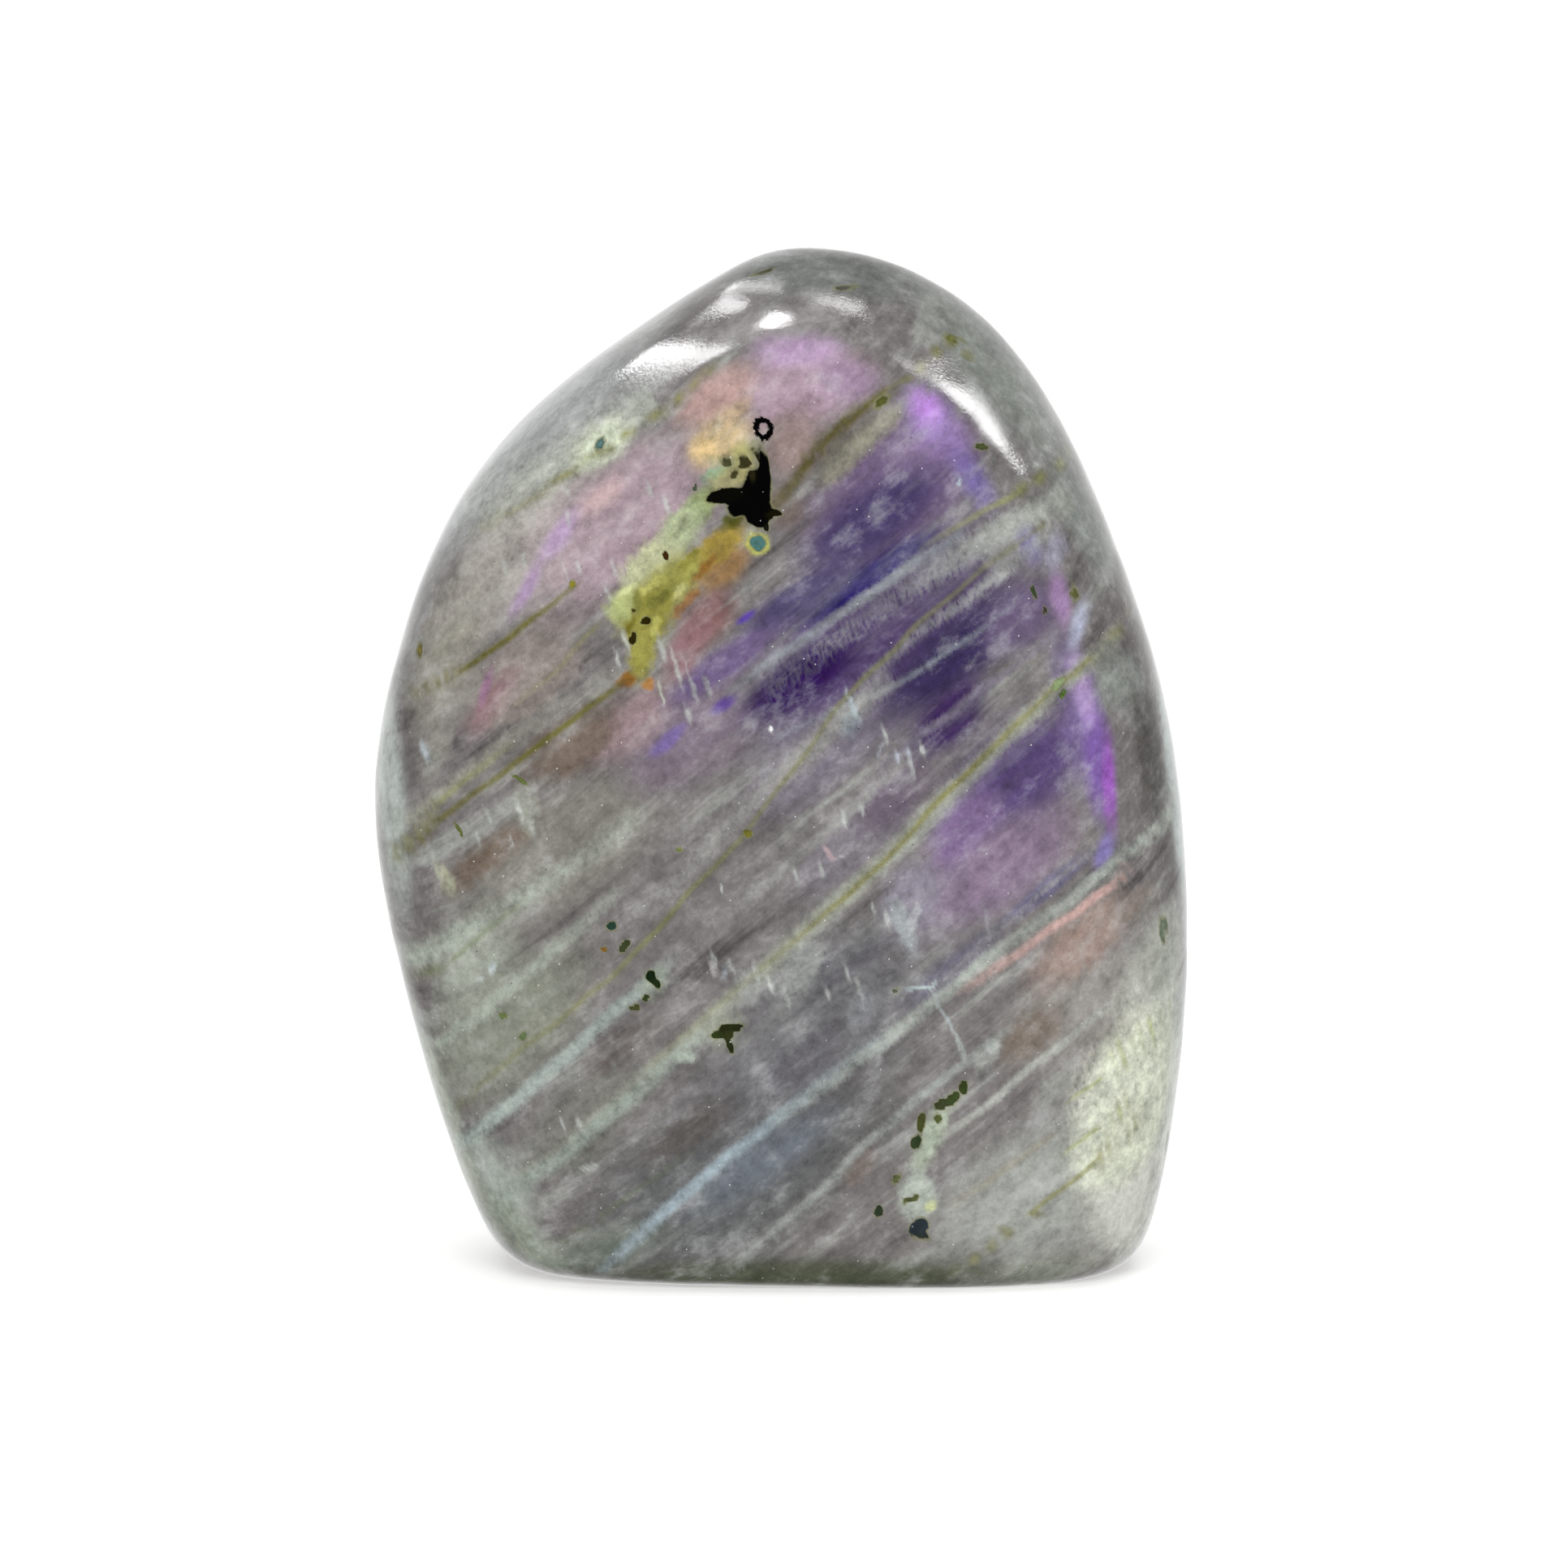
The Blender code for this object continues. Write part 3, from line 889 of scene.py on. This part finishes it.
# %% The dark crystals
BLACK = (4, 4, 3)
GREEN_BLACK = (44, 50, 30)
CRYSTALS = {
    "black body": ((930, 608), 40, 22, 82, BLACK, 1.0),
    "black body low": ((934, 630), 26, 22, 90, BLACK, 1.0),
    "black bulge": ((915, 622), 26, 16, 30, BLACK, 1.0),
    "black neck": ((941, 581), 26, 9, 92, BLACK, 1.0),
    "black arm": ((895, 611), 34, 11, 8, (16, 16, 8), 1.0),
    "black crust": ((921, 560), 13, 6, 30, (66, 62, 40), 0.9),
    "black nub": ((952, 634), 14, 5, 10, (26, 24, 14), 0.9),
    "black toe": ((944, 650), 6, 5, 70, (26, 26, 20), 0.9),
    "ring stem": ((935, 548), 9, 6, 80, BLACK, 1.0),
    "crust one": ((918, 572), 13, 5, 30, (60, 56, 34), 0.8),
    "crust two": ((904, 586), 10, 4, 60, (72, 68, 42), 0.8),
    "crust three": ((927, 588), 9, 5, 90, (48, 44, 26), 0.8),
    "crust four": ((896, 572), 7, 3, 20, (84, 84, 56), 0.8),
    "teal spot": ((933, 669), 12, 11, 0, (82, 122, 118), 1.0),
    "little grain": ((856, 601), 6, 3, 50, (84, 96, 84), 0.9),
    "yellow speck high": ((821, 685), 8, 4, 110, (62, 40, 22), 1.0),
    "yellow speck": ((794, 765), 8, 5, 20, (44, 38, 14), 1.0),
    "yellow speck left": ((781, 752), 5, 4, 60, (70, 60, 24), 0.9),
    "yellow speck low": ((779, 787), 10, 5, 70, (44, 38, 16), 1.0),
    "blue grain": ((741, 547), 9, 5, 0, (96, 128, 126), 0.9),
    "grain one": ((753, 1141), 8, 7, 40, (44, 66, 56), 1.0),
    "grain two": ((769, 1166), 13, 6, 50, (58, 66, 42), 1.0),
    "orange grain": ((744, 1170), 6, 5, 0, (146, 104, 48), 0.9),
    "grain three": ((802, 1203), 11, 8, 105, (26, 40, 24), 1.0),
    "grain four": ((808, 1212), 8, 6, 120, (34, 46, 26), 1.0),
    "grain five": ((795, 1230), 7, 5, 40, (52, 62, 36), 1.0),
    "grain six": ((782, 1242), 10, 4, 10, (74, 76, 48), 0.9),
    "flower top": ((900, 1266), 20, 7, 10, (38, 42, 24), 1.0),
    "flower left": ((884, 1276), 12, 6, 0, (46, 54, 28), 1.0),
    "flower stem": ((899, 1289), 13, 5, 118, (42, 48, 28), 1.0),
    "flower middle": ((896, 1275), 9, 8, 40, (50, 54, 30), 1.0),
    "chain one": ((1186, 1340), 10, 7, 90, (56, 66, 36), 1.0),
    "chain two": ((1172, 1354), 14, 7, 40, (58, 70, 40), 1.0),
    "chain three": ((1158, 1361), 12, 6, 20, (62, 70, 44), 1.0),
    "chain four": ((1134, 1384), 16, 7, 80, (68, 72, 40), 1.0),
    "chain five": ((1128, 1408), 12, 8, 60, (50, 62, 40), 1.0),
    "chain six": ((1153, 1379), 7, 6, 0, (80, 88, 52), 0.9),
    "chain seven": ((1104, 1452), 11, 4, 60, (96, 100, 68), 0.8),
    "foot grain": ((1083, 1492), 10, 7, 60, (50, 60, 46), 1.0),
    "foot grain blue": ((1131, 1512), 17, 12, 30, (48, 56, 62), 1.0),
    "foot grain high": ((1122, 1478), 14, 4, 20, (84, 88, 56), 0.9),
    "foot grain thin": ((1160, 1550), 14, 3, -20, (70, 88, 66), 0.9),
    "rectangle one": ((1274, 729), 12, 3, 98, (62, 74, 52), 1.0),
    "rectangle two": ((1321, 730), 12, 5, 100, (92, 96, 54), 0.9),
    "rectangle three": ((1287, 751), 7, 3, 80, (70, 68, 66), 0.9),
    "rectangle four": ((1211, 553), 13, 4, 100, (84, 92, 56), 0.9),
    "crown smudge": ((1088, 497), 12, 6, 80, (88, 92, 44), 0.9),
    "crown green": ((1178, 417), 20, 8, 40, (124, 128, 72), 0.9),
    "crown green low": ((1196, 442), 16, 7, 70, (128, 132, 96), 0.7),
    "crown dark": ((938, 336), 12, 4, 10, (84, 84, 62), 0.8),
    "crown dark right": ((1042, 356), 14, 6, 10, (88, 86, 80), 0.7),
    "olive dot": ((921, 1029), 7, 6, 0, (120, 116, 52), 1.0),
    "olive dot low": ((837, 1046), 5, 4, 0, (112, 122, 76), 0.8),
    "olive dot left": ((519, 799), 6, 5, 0, (140, 128, 70), 0.9),
    "olive dot thread": ((705, 720), 7, 5, 60, (140, 134, 56), 0.9),
    "green dash": ((1309, 856), 8, 4, 60, (96, 128, 56), 0.9),
    "green dash high": ((1305, 843), 14, 6, 50, (134, 152, 110), 0.8),
    "green slit": ((565, 1022), 14, 3, 118, (100, 106, 58), 0.9),
    "green slit right": ((640, 960), 15, 2.5, 145, (104, 116, 66), 0.9),
    "green left": ((620, 1252), 7, 5, 40, (104, 120, 74), 0.8),
    "green left low": ((644, 1278), 9, 5, 60, (104, 124, 84), 0.8),
    "edge grain": ((1436, 1411), 6, 5, 40, (108, 124, 96), 0.9),
    "green edge": ((1433, 1146), 16, 7, 80, (112, 124, 106), 0.8),
    "dark dash": ((1105, 1220), 7, 3, 0, (84, 92, 78), 0.9),
}
CRYSTAL_DEPTH = 1.6
grains = Coat("grains", GREEN_BLACK)
grains.lenses(CRYSTALS, bent, core=0.4, depth=CRYSTAL_DEPTH)
grains.keep()
print("crystals:", len(CRYSTALS))

# %% [markdown]
# ## White flecks and cracks
#
# Where a grain has split, air lies in the crack and it shines white. Short steep lenses stand for
# them, along the cleavage. The fainter feathers that hang from the veils differ only in place and
# length, so each is one short row, and a loop lays them.

# %% The white flecks and the feathers
FLECKS = {
    "left spike": ((524, 925), 26, 6, 112, (190, 200, 208), 0.9),
    "left spike low": ((528, 948), 12, 3, 105, (180, 190, 196), 0.8),
    "crystal spike": ((889, 535), 27, 4, 107, (226, 214, 188), 0.9),
    "crystal sparkle": ((935, 607), 4, 3, 60, (190, 186, 196), 1.0),
    "star": ((1050, 868), 30, 5, 112, (176, 186, 192), 0.9),
    "star halo": ((1048, 893), 26, 16, 90, (140, 156, 164), 0.4),
    "fork left": ((1106, 934), 15, 3, 100, (170, 174, 184), 0.8),
    "fork right": ((1120, 930), 15, 3, 105, (170, 174, 184), 0.8),
    "fork low": ((1085, 925), 16, 4, 70, (160, 166, 172), 0.7),
    "bright dot": ((950, 898), 5, 4.5, 60, (246, 246, 246), 1.0),
    "left patch": ((607, 1192), 12, 8, 80, (184, 194, 194), 0.9),
    "left patch low": ((590, 1206), 12, 4, 30, (170, 178, 174), 0.8),
    "middle flecks": ((877, 1193), 20, 4, 105, (176, 174, 172), 0.7),
    "middle flecks right": ((893, 1198), 16, 6, 80, (166, 172, 178), 0.7),
    "middle flecks high": ((889, 1094), 10, 3, 110, (186, 188, 188), 0.9),
    "branch high": ((1132, 1217), 26, 4, 4, (170, 184, 186), 0.9),
    "branch": ((1150, 1214), 14, 4, 60, (170, 184, 184), 0.8),
    "branch low": ((1165, 1253), 46, 3.5, 118, (166, 172, 174), 0.8),
    "branch end": ((1183, 1290), 26, 5, 108, (170, 178, 172), 0.7),
    "pink star": ((1020, 1050), 16, 6, 120, (196, 170, 176), 0.7),
    "pink star right": ((1034, 1055), 14, 4, 20, (176, 166, 172), 0.6),
    "pale fleck": ((1181, 594), 8, 3, 78, (176, 196, 204), 0.9),
    "bright foot": ((1146, 1487), 12, 9, 30, (196, 202, 152), 0.9),
    "white cluster": ((1222, 1292), 14, 10, 40, (186, 192, 188), 0.8),
    "low cluster": ((845, 1303), 22, 10, 0, (174, 184, 172), 0.8),
    "low line": ((692, 1384), 14, 2.5, 106, (168, 174, 172), 0.8),
    "low ridge": ((725, 1438), 22, 5, 15, (160, 164, 158), 0.8),
    "cleavage right": ((1216, 1132), 34, 5, 100, (160, 164, 170), 0.5),
    "yellow fleck": ((830, 812), 22, 3, 108, (176, 170, 168), 0.7),
    "yellow fleck right": ((845, 820), 22, 3, 108, (170, 160, 166), 0.6),
    "yellow fleck left": ((815, 855), 24, 3, 106, (190, 196, 180), 0.8),
    "upper fleck": ((697, 705), 20, 3, 116, (184, 180, 176), 0.6),
}
FEATHERS = [
    (560, 640, 20), (574, 622, 24), (588, 606, 30), (604, 590, 34), (618, 572, 26), (634, 560, 22),
    (676, 560, 26), (690, 545, 32), (706, 530, 26), (722, 522, 34), (738, 512, 24), (752, 505, 30),
    (770, 500, 20), (668, 600, 24), (700, 610, 20), (622, 700, 22), (645, 690, 18), (700, 640, 22),
    (712, 700, 20), (756, 700, 24), (748, 730, 18), (800, 605, 18), (820, 622, 22), (770, 790, 26),
    (760, 812, 22), (815, 800, 30), (835, 830, 34), (855, 850, 30), (848, 880, 24), (872, 846, 26),
    (1090, 905, 22), (1122, 945, 24), (1136, 925, 20), (1262, 585, 22), (1276, 570, 18),
    (1290, 556, 22), (1040, 1010, 18), (1062, 1002, 16), (1012, 1070, 18), (980, 1076, 16),
    (588, 1030, 18), (603, 1008, 20), (640, 1000, 26), (655, 1018, 20), (630, 1036, 16),
    (880, 1185, 24), (900, 1190, 20), (1075, 1120, 18), (1092, 1132, 24), (1044, 1200, 20),
    (1058, 1216, 24), (1020, 1225, 18), (970, 1230, 24), (950, 1216, 20), (930, 1196, 22),
    (714, 1385, 18),
]
FEATHER_COLOUR = (190, 194, 190)
FEATHER_HALF_WIDTH, FEATHER_RISE, FEATHER_STRENGTH = 5.5, 108, 0.65
FLECK_DEPTH = 2.0
for x, y, half_long in FEATHERS:
    mask = lens(bent, on_stone((x, y))[0], half_long, FEATHER_HALF_WIDTH, FEATHER_RISE, 0.0, LENS_DEPTH)
    veils.lay(FEATHER_COLOUR, FEATHER_STRENGTH * mask)
veils.lenses(FLECKS, bent, core=0.3, depth=FLECK_DEPTH)
veils.keep()
print("flecks:", len(FLECKS), "feathers:", len(FEATHERS))

# %% [markdown]
# ## Shader maths as plain expressions
#
# A material that changes over the surface is a net of small nodes. Drawn by hand it is hard to read,
# so one small class wraps a node's output and lets the usual signs add the Math nodes. A second class
# holds the material, and one method adds any other node from its type, settings and sockets.

# %% The two helper classes
def maths(operation, *numbers):
    net = next(number.net for number in numbers if isinstance(number, Value))
    return net.node("ShaderNodeMath", {"operation": operation}, dict(enumerate(numbers)))


class Value:
    """A node's output. Signs between it and numbers or other outputs add the Math nodes."""

    def __init__(self, net, socket):
        self.net = net
        self.socket = socket

    def beside(self, output):
        """Another output of the same node."""
        return Value(self.net, self.socket.node.outputs[output])

    def __add__(self, other):
        return maths("ADD", self, other)

    def __sub__(self, other):
        return maths("SUBTRACT", self, other)

    def __rsub__(self, other):
        return maths("SUBTRACT", other, self)

    def __mul__(self, other):
        return maths("MULTIPLY", self, other)

    __radd__ = __add__
    __rmul__ = __mul__


class Net:
    """The nodes of a material or of the world."""

    def __init__(self, owner):
        owner.use_nodes = True
        self.nodes = owner.node_tree.nodes
        self.links = owner.node_tree.links

    def feed(self, socket, value):
        if isinstance(value, Value):
            self.links.new(value.socket, socket)
        else:
            socket.default_value = value

    def node(self, kind, settings, sockets, output=0):
        """Adds a node, makes its settings, then feeds its sockets, and gives back one output."""
        node = self.nodes.new(kind)
        for name, setting in settings.items():
            setattr(node, name, setting)
        for name, value in sockets.items():
            self.feed(node.inputs[name], value)
        return Value(self, node.outputs[output])


labradorite_material = bpy.data.materials.new("polished_labradorite")
mesh.materials.append(labradorite_material)
labradorite = Net(labradorite_material)
print("material:", labradorite_material.name)

# %% [markdown]
# ## The coats together
#
# The shader lays the kept coats over a ground mass with layers of its own, which show on the sides and
# the back. The paint is only as fine as the mesh, so noises finer than that break it up: a comb along
# the cleavage frays the veils, and a tearing noise cuts the grains to sharp and ragged edges. The ring
# above the black crystal is finer than the mesh too, so the shader draws it whole. Last, haze and
# sugar, a broad noise and a fine one, make the colour lighter and darker.

# %% The layers and the coats
LAYER_SIZE = (22.0, 8.0, 1.8)
LAYERS_ON_FRONT = 0.18
HAZE_SIZE = (4.0, 3.0, 2.4)
HAZE_COLOUR, HAZE_PALE = (168, 170, 170), 0.34
HAZE_CONTRAST = 1.5
SUGAR_SIZE = 0.9
SUGAR_CONTRAST = 1.1
VEIL_SUGAR = 0.5
STREAK_SIZE = (5.0, 2.0, 0.5)
STREAK_COLOUR, STREAK_PALE = (186, 188, 184), 0.08
FRAY_SIZE = (0.8, 0.8, 0.3)
CRUMB_SIZE = 0.32
CRUST = (128, 128, 92)
RING_PIXEL, RING_SIZE = (940, 528), (0.80, 3.0, 0.98)
RING_TURN = (0, math.radians(-25), 0)


def noise(where, size, detail=2.0, roughness=0.5):
    sockets = {"Vector": where, "Scale": 1 / size, "Detail": detail, "Roughness": roughness}
    return labradorite.node("ShaderNodeTexNoise", {}, sockets)


def laid(turn, size, start=HEART):
    """Places seen from a start, in axes turned by Euler angles, as shares of a size."""
    sockets = {"Vector": place, "Location": start, "Rotation": turn, "Scale": size}
    return labradorite.node("ShaderNodeMapping", {"vector_type": "TEXTURE"}, sockets)


def smooth(value, start, end, most=1.0):
    """A soft step from 0 at start to most at end."""
    sockets = {"Value": value, "From Min": start, "From Max": end, "To Max": most}
    return labradorite.node("ShaderNodeMapRange", {"interpolation_type": "SMOOTHSTEP"}, sockets)


def blend(under, over, mask):
    return labradorite.node("ShaderNodeMix", {"data_type": "RGBA"}, {0: mask, 6: under, 7: over}, output=2)


def paint(*shown):
    return (*seen(*shown), 1.0)


def coat(name):
    kept = labradorite.node("ShaderNodeAttribute", {"attribute_name": name}, {}, output="Color")
    return kept, kept.beside("Alpha")


in_metres = labradorite.node("ShaderNodeTexCoord", {}, {}, output="Object")
to_mm = {"Vector": in_metres, "Scale": (1 / MM,) * 3}
place = labradorite.node("ShaderNodeMapping", {"vector_type": "POINT"}, to_mm)

layering = noise(laid(LAYER_TURN, LAYER_SIZE), 1.0, detail=4.0, roughness=0.6)
ground_colour, on_ground = coat("ground")
colour = blend(paint(*GROUND), ground_colour, on_ground)
on_front = LAYERS_ON_FRONT + (1 - LAYERS_ON_FRONT) * (1 - on_ground)
colour = blend(colour, paint(*PALE_LAYER), smooth(layering, 0.50, 0.72) * on_front)
colour = blend(colour, paint(*DARK_LAYER), smooth(layering, 0.48, 0.28) * on_front)

haze = noise(laid(LAYER_TURN, HAZE_SIZE), 1.0, detail=5.0, roughness=0.7)
streaks = noise(laid(LAYER_TURN, STREAK_SIZE), 1.0, detail=3.0, roughness=0.7)
colour = blend(colour, paint(*HAZE_COLOUR), smooth(haze, 0.50, 0.72, HAZE_PALE))
colour = blend(colour, paint(*STREAK_COLOUR), smooth(streaks, 0.54, 0.74, STREAK_PALE))

fraying = noise(laid(CLEAVAGE_TURN, FRAY_SIZE), 1.0, detail=3.0, roughness=0.65)
veil_colour, on_veil = coat("veils")
colour = blend(colour, veil_colour, on_veil * smooth(fraying + 0.45 * on_veil, 0.40, 0.72) * (0.6 + haze))

tearing = noise(place, CRUMB_SIZE, detail=3.0, roughness=0.6)
thread_colour, on_thread = coat("threads")
colour = blend(colour, thread_colour, on_thread * (0.7 + 0.8 * tearing))
grain_colour, on_grain = coat("grains")
ragged = on_grain * (0.5 + 1.2 * tearing)
colour = blend(colour, paint(*CRUST), smooth(ragged, 0.04, 0.22, 0.6))
colour = blend(colour, grain_colour, smooth(ragged, 0.24, 0.52))
in_ring = laid(RING_TURN, RING_SIZE, start=tuple(on_stone(RING_PIXEL)[0]))
away = labradorite.node("ShaderNodeVectorMath", {"operation": "LENGTH"}, {0: in_ring}, output="Value")
away = away + 0.9 * (tearing - 0.5)
colour = blend(colour, paint(*BLACK), smooth(away, 0.34, 0.46) * smooth(away, 1.0, 0.86))

sugar = noise(place, SUGAR_SIZE, detail=4.0, roughness=0.8)
shade = 1 + (SUGAR_CONTRAST + VEIL_SUGAR * on_veil) * (sugar - 0.5) + HAZE_CONTRAST * (haze - 0.5)
colour = labradorite.node("ShaderNodeVectorMath", {"operation": "MULTIPLY"}, {0: colour, 1: shade})
print("coats: ground, veils, threads, grains")

# %% [markdown]
# ## Dust and pits
#
# Bright points of dust lie on the stone, and tiny dark pits break its polish. Both could be scattered
# as small meshes, but they are only colour here. They come from a Voronoi pattern, whose cells each
# have a middle and a colour of their own. The colour decides which few cells are let through.

# %% The dust and the pits
DUST_CELL, DUST_RADIUS, DUST_SHARE = 0.8, 0.07, 0.30
PIT_CELL, PIT_RADIUS, PIT_SHARE = 1.3, 0.075, 0.13
PIT_START = (3.1, 0.7, 5.3)
DUST_COLOUR = (236, 236, 234)
PIT_COLOUR = (44, 38, 36)
POINT_STRENGTH = 0.75


def points_in(where, cell, share, radius):
    """Round points of a radius, in a share of the cells."""
    sockets = {"Vector": where, "Scale": 1 / cell, "Randomness": 1.0}
    cells = labradorite.node("ShaderNodeTexVoronoi", {}, sockets)
    chosen = labradorite.node("ShaderNodeSeparateColor", {}, {0: cells.beside("Color")})
    kept = smooth(chosen, share, 0.9 * share)
    return smooth(cells, radius / cell, 0.5 * radius / cell) * kept


dust = points_in(place, DUST_CELL, DUST_SHARE, DUST_RADIUS)
colour = blend(colour, paint(*DUST_COLOUR), dust * POINT_STRENGTH)
pits = points_in(laid((0, 0, 0), (1, 1, 1), start=PIT_START), PIT_CELL, PIT_SHARE, PIT_RADIUS)
colour = blend(colour, paint(*PIT_COLOUR), pits * POINT_STRENGTH)
print("dust in", DUST_SHARE, "of the cells, pits in", PIT_SHARE)

# %% [markdown]
# ## The polish
#
# The polish is a mirror of a few percent over a dull ground mass. A coat could be laid over the shader,
# but its own gloss does the same with a low roughness. It is duller in the pits, and a bump about a
# hundredth of a millimetre deep gives the highlights their grain.

# %% Roughness and bump
POLISH_ROUGHNESS = 0.08
PIT_ROUGHNESS = 0.45
STONE_IOR = 1.55
PEEL_DEPTH, PEEL_SIZE = 0.010, 0.28
PIT_DEPTH = 0.02

shader = labradorite.nodes["Principled BSDF"].inputs
labradorite.feed(shader["Base Color"], colour)
labradorite.feed(shader["Roughness"], POLISH_ROUGHNESS + (PIT_ROUGHNESS - POLISH_ROUGHNESS) * pits)
labradorite.feed(shader["IOR"], STONE_IOR)
height = noise(place, PEEL_SIZE, detail=4.0, roughness=0.6) * PEEL_DEPTH - pits * PIT_DEPTH
skin_bump = labradorite.node("ShaderNodeBump", {}, {"Strength": 1.0, "Distance": MM, "Height": height})
labradorite.feed(shader["Normal"], skin_bump)
print("nodes in the material:", len(labradorite.nodes))

# %% [markdown]
# ## The studio
#
# The photograph was lit like goods for a shop: a white sweep below and behind, lamps above. A picture of
# a studio could surround the stone, but a plain pale floor and a plain world are enough. The world is
# white to the camera and behind the stone, which gives the rim its white line, and dims towards the
# camera, so that the polish keeps the dark marks dark.

# %% The floor and the world
FLOOR_SIZE = 1.0
FLOOR_COLOUR = (0.93, 0.93, 0.92, 1.0)
FLOOR_ROUGHNESS, FLOOR_SHEEN = 0.9, 0.1
FLOOR_GLOW = 0.5
FRONT_GLOW = 0.04
BACK_GLOW = 1.0
BACK_GLOW_FROM = 0.40

floor_mesh = bpy.data.meshes.new("floor")
floor_grid = bmesh.new()
bmesh.ops.create_grid(floor_grid, x_segments=1, y_segments=1, size=FLOOR_SIZE / 2)
floor_grid.to_mesh(floor_mesh)
floor_grid.free()
floor = bpy.data.objects.new("floor", floor_mesh)
floor.visible_glossy = False
bpy.context.scene.collection.objects.link(floor)
floor_mesh.materials.append(bpy.data.materials.new("pale_paper"))
paper = Net(floor_mesh.materials[0])
paper_shader = paper.nodes["Principled BSDF"].inputs
paper.feed(paper_shader["Base Color"], FLOOR_COLOUR)
paper.feed(paper_shader["Roughness"], FLOOR_ROUGHNESS)
paper.feed(paper_shader["Specular IOR Level"], FLOOR_SHEEN)
paper.feed(paper_shader["Emission Color"], FLOOR_COLOUR)
paper.feed(paper_shader["Emission Strength"], FLOOR_GLOW)

world = bpy.data.worlds.new("studio")
bpy.context.scene.world = world
air = Net(world)
way_out = air.node("ShaderNodeTexCoord", {}, {}, output="Generated")
rearward = air.node("ShaderNodeSeparateXYZ", {}, {0: way_out}, output=1)
glow = air.node(
    "ShaderNodeMapRange",
    {"interpolation_type": "SMOOTHSTEP"},
    {"Value": rearward, "From Min": BACK_GLOW_FROM, "To Min": FRONT_GLOW, "To Max": BACK_GLOW},
)
to_camera = air.node("ShaderNodeLightPath", {}, {}, output="Is Camera Ray")
sky = air.nodes["Background"].inputs
air.feed(sky["Strength"], maths("MAXIMUM", glow, to_camera))
air.feed(sky["Color"], (1, 1, 1, 1))
print("world glows", FRONT_GLOW, "in front and", BACK_GLOW, "behind")

# %% [markdown]
# ## The lamps
#
# On a polish a highlight is the picture of a lamp, so its shape is the lamp's shape bent by the stone.
# Round or square lamps give highlights of the wrong shape. Here each lamp is found backwards instead: from
# the camera to the outline of a highlight in the photograph, and off the polish to where a corner of the
# lamp must hang. The lamps show in the polish only. Two broad sheets that the polish doesn't mirror light
# the colours evenly.

# %% The lamps and the sheets
LAMP_DISTANCE = 420.0
HIGHLIGHTS = {
    "key_left": (
        15.0,
        [(773, 453), (788, 439), (806, 428), (832, 423), (866, 426), (904, 428), (884, 438),
         (868, 447), (856, 454), (830, 456), (803, 455)],
    ),
    "spark": (
        24.0,
        [(932, 401), (949, 386), (969, 386), (971, 395), (958, 402), (941, 405)],
    ),
    "key_right": (
        13.0,
        [(1159, 466), (1191, 480), (1211, 497), (1234, 532), (1256, 571), (1238, 560), (1219, 538),
         (1199, 515), (1176, 494), (1160, 480)],
    ),
    "key_right_tail": (
        6.0,
        [(1099, 440), (1125, 448), (1159, 466), (1160, 480), (1148, 474), (1120, 457)],
    ),
    "crown_glow": (
        9.0,
        [(869, 380), (884, 370), (912, 366), (926, 372), (915, 384), (889, 388)],
    ),
    "crown_arc": (
        10.0,
        [(982, 357), (1016, 367), (1045, 373), (1066, 377), (1060, 387), (1040, 383), (1010, 374)],
    ),
    "crown_line": (
        9.0,
        [(892, 356), (923, 349), (963, 354), (962, 360), (923, 356), (894, 362)],
    ),
}


def mirrored_place(pixel):
    """Where a lamp must hang for the polish at a pixel to throw it into the camera."""
    near = [on_stone((pixel[0] + x, pixel[1] + y)) for x, y in ((0, 0), (-4, 0), (4, 0), (0, -4), (0, 4))]
    facing = sum((way for _, way in near), Vector()).normalized()
    spot = near[0][0]
    return spot + (spot - camera_place).normalized().reflect(facing) * LAMP_DISTANCE


for name, (radiance, outline) in HIGHLIGHTS.items():
    lamp_mesh = bpy.data.meshes.new(name)
    corners = [mirrored_place(pixel) * MM for pixel in outline]
    lamp_mesh.from_pydata(corners, [], [list(range(len(corners)))])
    lamp = bpy.data.objects.new(name, lamp_mesh)
    lamp.visible_camera = lamp.visible_diffuse = lamp.visible_shadow = False
    bpy.context.scene.collection.objects.link(lamp)
    lamp_mesh.materials.append(bpy.data.materials.new(name))
    lamp_net = Net(lamp_mesh.materials[0])
    shine = lamp_net.node("ShaderNodeEmission", {}, {"Strength": radiance})
    lamp_net.feed(lamp_net.nodes["Material Output"].inputs["Surface"], shine)
    print(name, "lamp around", [round(c / MM) for c in corners[0]], "mm")

SHEETS = {
    "front_sheet": ((0.0, -0.80, 0.55), (0.8, 0.5), 5.1),
    "top_sheet": ((0.0, 0.0, 1.10), (1.2, 1.0), 8.0),
}
for name, (location, size, power) in SHEETS.items():
    light = bpy.data.lights.new(name, "AREA")
    light.shape = "RECTANGLE"
    light.size, light.size_y = size
    light.energy = power
    sheet = bpy.data.objects.new(name, light)
    sheet.location = location
    sheet.rotation_euler = (Vector(location) - AIM * MM).to_track_quat("Z", "Y").to_euler()
    sheet.visible_glossy = False
    bpy.context.scene.collection.objects.link(sheet)
print("sheets:", len(SHEETS))

# %% [markdown]
# ## The picture's tones
#
# The pale sweep of the photograph is clipped to white, so the view is the plain Standard one.

# %% Finish
bpy.context.scene.view_settings.view_transform = "Standard"
